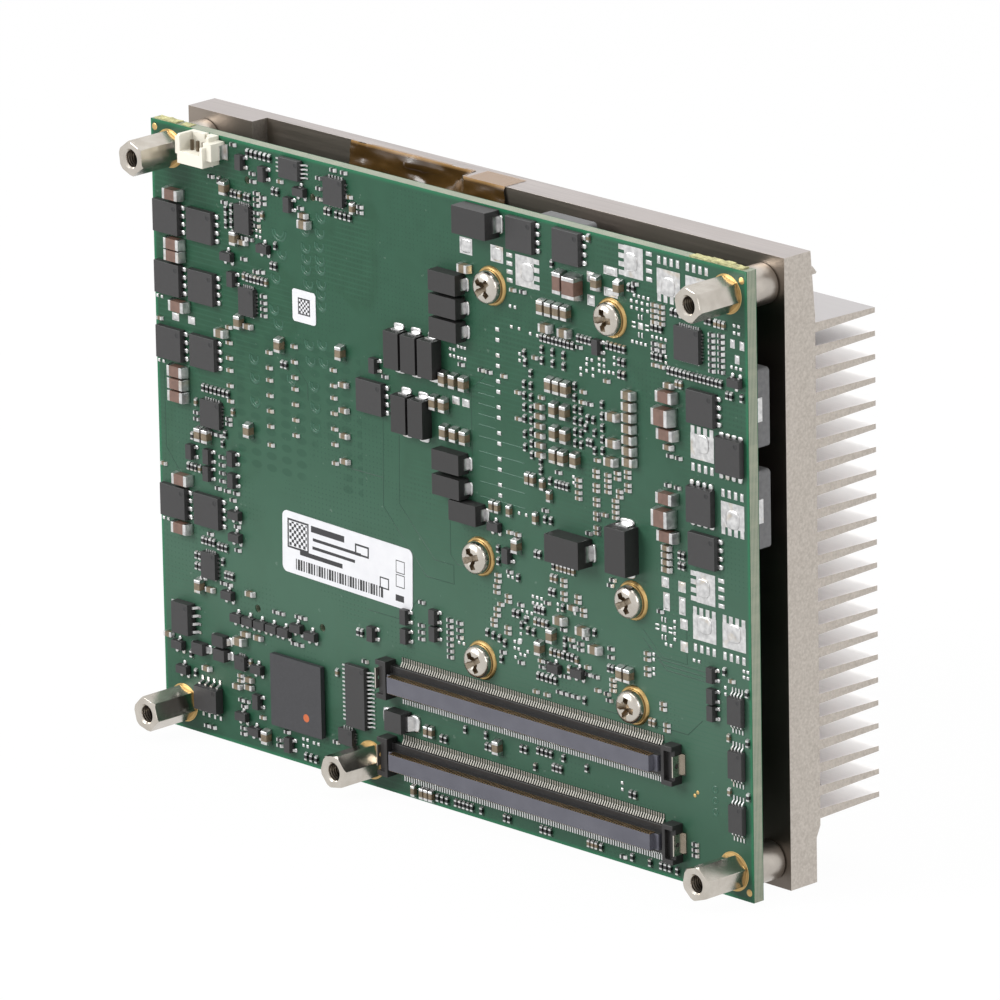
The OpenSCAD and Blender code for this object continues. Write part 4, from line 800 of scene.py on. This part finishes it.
def threads(places):
    """Turns of thread in the standoffs' bores, with their faces towards the axis."""
    thread = drawn("thread_template", [(1.24, 2.1), (1.1, 2.32), (1.24, 2.55)])
    done()
    apply(thread, "SCREW", axis="Z", steps=24, render_steps=24, iterations=12, screw_offset=0.45 * mm,
          use_merge_vertices=True, merge_threshold=0.001 * mm)
    outward = sum(face.normal.xy.dot(face.center.xy) for face in thread.data.polygons)
    if outward > 0:
        bpy.ops.object.mode_set(mode="EDIT")
        bpy.ops.mesh.select_all(action="SELECT")
        bpy.ops.mesh.flip_normals()
        done()
    coat(thread, shaded_bore_metal)
    set_out(thread, places, "standoff_threads", "nickel")


def gold_rings():
    """Plated lands with a stepped rim, a raised one under the screw heads, and domed marks."""
    flat = [(1.36, 0), (1.36, 0.05), (2.62, 0.05), (2.72, 0.02), (2.78, 0.055), (2.96, 0.055), (3.0, 0)]
    raised = [(1.36, 0), (1.36, 0.05), (2.3, 0.05), (2.45, 0.24), (2.58, 0.4), (2.76, 0.42),
              (2.92, 0.28), (3.02, 0)]
    rings = {"land_rings": (spun("ring_template", flat, 48, 30), []),
             "screw_collars": (spun("collar_template", raised, 48, 40), [])}
    dot_r = 0.52
    dot = spun("dot_template", [(0, 0.06), (0.4, 0.055), (0.5, 0.03), (dot_r, 0)], 20, 60)
    heads = [(screw.x, screw.y) for screw in islands("clamp_screws")]
    dots = []
    for land in islands("gold_lands"):
        place = on_face(land.x, land.y)
        if land.wide < 3:
            share = land.wide / (2 * dot_r)
            dots.append(place @ Matrix.Diagonal((share, share, 1, 1)))
            continue
        under_head = any(math.dist((land.x, land.y), head) < 0.5 for head in heads)
        rings["screw_collars" if under_head else "land_rings"][1].append(place)
    coat(dot, finishes["gold"])
    set_out(dot, dots, "land_dots", "gold", "gold_lands")
    for name, (template, places) in rings.items():
        coat(template, finishes["gold"])
        set_out(template, places, name, "gold")


# Relief of the board's face

def traced(name, paths, radius, sink, finish):
    """Thin round-topped lines along paths on the board's face, sunk in it."""
    curve = bpy.data.curves.new(name, "CURVE")
    curve.dimensions = "3D"
    curve.bevel_depth = radius * mm
    curve.bevel_resolution = 1
    for path in paths:
        line = curve.splines.new("POLY")
        line.points.add(len(path) - 1)
        for point, (x, y) in zip(line.points, path):
            point.co = (*on_face(x, y, 0, -sink).translation, 1.0)
    piece = bpy.data.objects.new(name, curve)
    bpy.context.scene.collection.objects.link(piece)
    only(piece)
    bpy.ops.object.convert(target="MESH")
    piece = bpy.context.object
    piece.name = name
    bpy.ops.object.shade_smooth()
    coat(piece, finish)
    keep(piece, "board_green")


def arc(x, y, r, start, end):
    """Points on part of a circle, in millimetres, between two angles in degrees."""
    turns = [math.radians(start + (end - start) * step / 10) for step in range(11)]
    return [(x + r * math.cos(turn), y + r * math.sin(turn)) for turn in turns]


def board_relief():
    """Gaps between copper fields, raised tracks and the arcs over filled holes."""
    gaps = [[(49.1, 58), (48.8, 44.4), (57.7, 35.4), (63.6, 35.4), (63.6, 38.3), (59.6, 38.3), (52.2, 45.5),
             (52.5, 56)],
            [(41.2, 48.8), (48.9, 48.8)], [(63, 45.5), (63, 39.8), (64.4, 38.6), (66.2, 38.6)],
            [(33, 57.5), (33, 60), (29, 64)], [(1.5, 56), (1.5, 44), (5, 40)],
            [(112, 40.2), (112, 33.5), (107, 33.5), (103, 37)], [(94, 22.8), (112, 22.8), (115, 25.6)],
            [(45, 27.5), (52, 27.5), (56, 31.5)], [(68, 56), (68, 66), (71, 69)]]
    for k in range(3):
        level = 33.1 - 0.7 * k
        gaps.append([(103 + k, 35.6 - 0.9 * k), (106.6 + 0.6 * k, level), (118 - k, level)])
    tracks = [[(69.5, 50.2 + 2.3 * k), (79, 50.2 + 2.3 * k)] for k in range(5)]
    tracks += [[(69.5, 61.2 + 1.6 * k), (73, 61.2 + 1.6 * k)] for k in range(5)]
    holes = [(33.2, 83.9), (36.4, 84.1), (33.3, 81.3), (36.2, 82), (33.4, 79.6), (36.3, 79.9), (33.3, 77.9),
             (36.4, 78.5), (36.5, 76.2), (33.7, 75.7), (36.5, 72.9), (36.7, 86.5), (28.1, 79.3), (26.6, 75.3),
             (26.1, 70.4), (27, 68.3), (36.4, 74.6), (29.6, 60.2), (33.6, 66.4), (36.4, 66.9), (36.6, 64.2),
             (33.8, 63.9), (21.4, 61.8), (21.6, 58.9), (34.4, 60.1), (34.6, 56.9), (34.5, 53.8), (21.5, 55.2)]
    arcs = []
    for x, y in holes:
        arcs.append(arc(x, y, 0.95, 150, 390))
        arcs.append(arc(x + 0.3, y + 0.1, 0.75, 160, 330))
    arcs.append(arc(27.6, 82.6, 1.5, 175, 365))
    arcs.append(arc(27.6, 82.7, 1.0, 175, 365))
    arcs += [arc(117.4, 15.6 - 1.7 * k, 0.5, 0, 360) for k in range(3)]
    traced("field_gaps", gaps, 0.09, 0.05, groove_green)
    traced("raised_tracks", tracks, 0.14, 0.09, ridge_green)
    traced("filled_holes", arcs, 0.3, 0.21, ridge_green)


def breakaway_stubs():
    """Torn laminate left on the board's upper edge where it was broken out of its panel."""
    stub = block("stub_template", (1, 1, 1))
    bpy.ops.object.mode_set(mode="EDIT")
    bpy.ops.mesh.select_all(action="SELECT")
    bpy.ops.mesh.subdivide(number_cuts=7)
    done()
    coat(stub, bare_laminate)
    middle_y = (face_y + back_y) / 2
    places = []
    stubs = ((3.0, 4.8, 0.5), (7.2, 2.2, 0.3), (115.4, 4.2, 0.55), (119.2, 4.6, 0.7), (122.6, 2.6, 0.5))
    for x, length, rise in stubs:
        spot = Vector((board_low.x + x * mm, middle_y, board_high.z))
        places.append(Matrix.Translation(spot) @ Matrix.Diagonal((length, 1.5, rise, 1)))
    piece = set_out(stub, places, "breakaway_stubs", "board_green")
    grit = bpy.data.textures.new("torn", "CLOUDS")
    grit.noise_scale = 0.7 * mm
    apply(piece, "DISPLACE", texture=grit, strength=0.5 * mm, mid_level=0.6)


# Marks moulded into the chips

def pin_marks():
    """Shallow round dimples with a raised lip beside the first lead of each chip."""
    mark = spun("mark_template", [(0, 0.004), (0.26, 0.004), (0.3, 0.016), (0.36, 0.016), (0.4, 0)], 16, 50)
    coat(mark, finishes["resistor_black"])
    places = []
    chips = [("power_transistors", 0.9, 0.0), ("controller_chips", 0.55, 0.0), ("driver_chips", 0.7, 0.1)]
    for node, inset, stand in chips:
        for x, y, wide, high, deep in islands(node):
            spot = on_face(x + wide / 2 - inset, y + high / 2 - inset, 0, stand + deep)
            places.append(spot @ Matrix.Scale(0.5 + 0.12 * min(wide, 5), 4))
    set_out(mark, places, "pin_marks", "black_moulding")


# Tape on the cooler

def tape():
    """Film laid in the recess, slung across its corner, and folded over the plate's upper edge."""
    low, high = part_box("polyimide_tape")
    step = 3.0 * mm
    drop = 9.0 * mm
    stretch = 4.0
    rim = high.z - 0.05 * mm
    bpy.ops.object.select_all(action="DESELECT")
    bpy.ops.mesh.primitive_grid_add(x_subdivisions=120, y_subdivisions=18, size=1.0)
    sheet = bpy.context.object
    sheet.name = "polyimide_film"
    bpy.ops.object.mode_set(mode="EDIT")
    bpy.ops.transform.resize(value=((high.x - low.x) / stretch, drop, 1.0), center_override=(0, 0, 0))
    bpy.ops.transform.rotate(value=math.radians(90), orient_axis="X", center_override=(0, 0, 0))
    done()
    if sheet.data.polygons[0].normal.y > 0:
        bpy.ops.object.mode_set(mode="EDIT")
        bpy.ops.mesh.flip_normals()
        done()
    for size, strength in ((3.0, 1.0), (1.2, 0.8)):
        folds = bpy.data.textures.new("folds", "CLOUDS")
        folds.noise_scale = size * mm
        apply(sheet, "DISPLACE", texture=folds, strength=strength * mm, mid_level=0.3)
    bpy.ops.object.mode_set(mode="EDIT")
    bpy.ops.mesh.select_all(action="SELECT")
    bpy.ops.transform.resize(value=(stretch, 1.0, 1.0), center_override=(0, 0, 0))
    done()

    # The folds die out towards a straight upper edge
    for reach, share in ((1.1, 0.6), (0.6, 0.5), (0.05, 0.0)):
        pick(sheet, lambda place, normal: place.z > drop / 2 / mm - reach, "VERT")
        bpy.ops.transform.resize(value=(1.0, share, 1.0), center_override=(0, 0, 0))
        done()
    bpy.ops.object.mode_set(mode="EDIT")
    bpy.ops.mesh.select_all(action="SELECT")
    bpy.ops.transform.translate(value=((low.x + high.x) / 2, low.y + step - 0.1 * mm, rim - drop / 2))
    done()

    # The film climbs from the recess to the plate's face in small steps, over a longer way lower down
    top = rim / mm
    corner = board_low.x / mm + 59.4
    climbs = 40
    for climb in range(climbs):
        left = 1 - climb / climbs
        pick(sheet, lambda place, normal: place.x > corner - (0.8 + 1.5 * (top - place.z)) * left, "VERT")
        bpy.ops.transform.translate(value=(0, -step / climbs, 0))
        done()

    # The upper edge is turned back, and further back beside the recess
    upper = top - 0.05
    front = low.y / mm + 0.2
    pick(sheet, lambda place, normal: place.z > upper, "VERT")
    bpy.ops.mesh.extrude_region_move(TRANSFORM_OT_translate={"value": (0, 0.5 * mm, 0)})
    done()
    pick(sheet, lambda place, normal: place.z > upper and place.x > corner + 0.5 and place.y > front, "VERT")
    for _ in range(4):
        bpy.ops.mesh.extrude_region_move(TRANSFORM_OT_translate={"value": (0, 1.0 * mm, 0)})
    done()
    bpy.ops.object.shade_smooth_by_angle(angle=math.radians(50))
    coat(sheet, finishes["tape_amber"])
    keep(sheet, "tape_amber", "polyimide_tape")


# Soft edges on the solids that stay

def soften(width, *names):
    """Rounds the edges of CAD nodes without touching their meshes."""
    for name in names:
        weld = nodes[name].modifiers.new("weld", "WELD")
        weld.merge_threshold = 0.001 * mm
        bevel = nodes[name].modifiers.new("soft_edges", "BEVEL")
        bevel.width = width * mm
        bevel.segments = 2
        bevel.limit_method = "ANGLE"
        bevel.angle_limit = math.radians(40)


small_chips()
capped_chips()
solder_lumps()
transistor_puddles()
screws()
hex_standoffs()
gold_rings()
board_relief()
breakaway_stubs()
pin_marks()
tape()
soften(0.06, "power_transistors", "tantalum_capacitors", "driver_chips", "controller_chips", "diodes")
soften(0.05, "small_transistors", "upper_connector_insert", "lower_connector_insert")
soften(0.08, "upper_connector_base", "lower_connector_base", "fan_header_housing", "bridge_chip")
soften(0.2, "inner_inductors")
soften(0.3, "heatsink")


# Stage, light and camera

def show_white(tree, share, dull, white, output):
    """Shows a white shader, in that share, to rays that see it directly, and a dull one to the rest."""
    ray = tree.nodes.new("ShaderNodeLightPath")
    seen = ray.outputs["Is Camera Ray"]
    for name in ("Is Glossy Ray", "Is Transmission Ray"):
        most = tree.nodes.new("ShaderNodeMath")
        most.operation = "MAXIMUM"
        tree.links.new(seen, most.inputs[0])
        tree.links.new(ray.outputs[name], most.inputs[1])
        seen = most.outputs[0]
    scaled = tree.nodes.new("ShaderNodeMath")
    scaled.operation = "MULTIPLY"
    scaled.inputs[1].default_value = share
    tree.links.new(seen, scaled.inputs[0])
    mix = tree.nodes.new("ShaderNodeMixShader")
    tree.links.new(scaled.outputs[0], mix.inputs["Fac"])
    tree.links.new(dull.outputs[0], mix.inputs[1])
    tree.links.new(white.outputs[0], mix.inputs[2])
    tree.links.new(mix.outputs[0], tree.nodes[output].inputs["Surface"])


def surroundings():
    """Even grey light from all round, which looks white itself."""
    world = bpy.data.worlds.new("studio")
    bpy.context.scene.world = world
    world.use_nodes = True
    tree = world.node_tree
    background = tree.nodes["Background"]
    background.inputs["Color"].default_value = (0.80, 0.80, 0.80, 1.0)
    background.inputs["Strength"].default_value = 0.42
    white = tree.nodes.new("ShaderNodeBackground")
    white.inputs["Color"].default_value = (1.0, 1.0, 1.0, 1.0)
    show_white(tree, 1.0, background, white, "World Output")


def paper_floor():
    """Pale paper under the module that keeps a faint shadow."""
    bpy.ops.object.select_all(action="DESELECT")
    bpy.ops.mesh.primitive_plane_add(size=6.0, location=(0, 0, cad_low.z - 0.2 * mm))
    floor = bpy.context.object
    floor.name = "floor"
    paper = bpy.data.materials.new("paper_sweep")
    paper.use_nodes = True
    tree = paper.node_tree
    diffuse = tree.nodes["Principled BSDF"]
    diffuse.inputs["Base Color"].default_value = (0.86, 0.86, 0.86, 1.0)
    diffuse.inputs["Roughness"].default_value = 0.9
    glow = tree.nodes.new("ShaderNodeEmission")
    glow.inputs["Strength"].default_value = 1.0
    show_white(tree, 0.97, diffuse, glow, "Material Output")
    floor.data.materials.append(paper)


def lamps():
    """Three large soft lamps aimed at the middle of the module: name, place, size and power."""
    target = Vector((0, 0, 0.05))
    for name, spot, size, power in (("key", (-0.50, -0.80, 0.62), 0.6, 11.5),
                                    ("side", (0.95, 0.05, 0.45), 0.6, 3.4),
                                    ("top", (0.0, 0.15, 1.0), 0.8, 6.0)):
        light = bpy.data.lights.new(name, "AREA")
        light.size = size
        light.energy = power
        lamp = bpy.data.objects.new(name, light)
        bpy.context.scene.collection.objects.link(lamp)
        lamp.location = spot
        lamp.rotation_euler = (target - lamp.location).to_track_quat("-Z", "Y").to_euler()


def camera():
    """The photograph's view: a long lens from the right and a little above."""
    right = Vector((0.69814, 0.71573, -0.01791))
    up = Vector((-0.19779, 0.21684, 0.95596))
    back = Vector((0.68809, -0.66386, 0.29295))
    data = bpy.data.cameras.new("camera")
    data.lens = 431.6
    data.sensor_width = 36.0
    data.clip_end = 20.0
    seen = bpy.data.objects.new("camera", data)
    bpy.context.scene.collection.objects.link(seen)
    turn = Matrix((right, up, back)).transposed().to_4x4()
    seen.matrix_world = Matrix.Translation((1.2186, -1.1740, 0.5645)) @ turn
    bpy.context.scene.camera = seen


surroundings()
paper_floor()
lamps()
camera()
bpy.context.scene.view_settings.view_transform = "Standard"
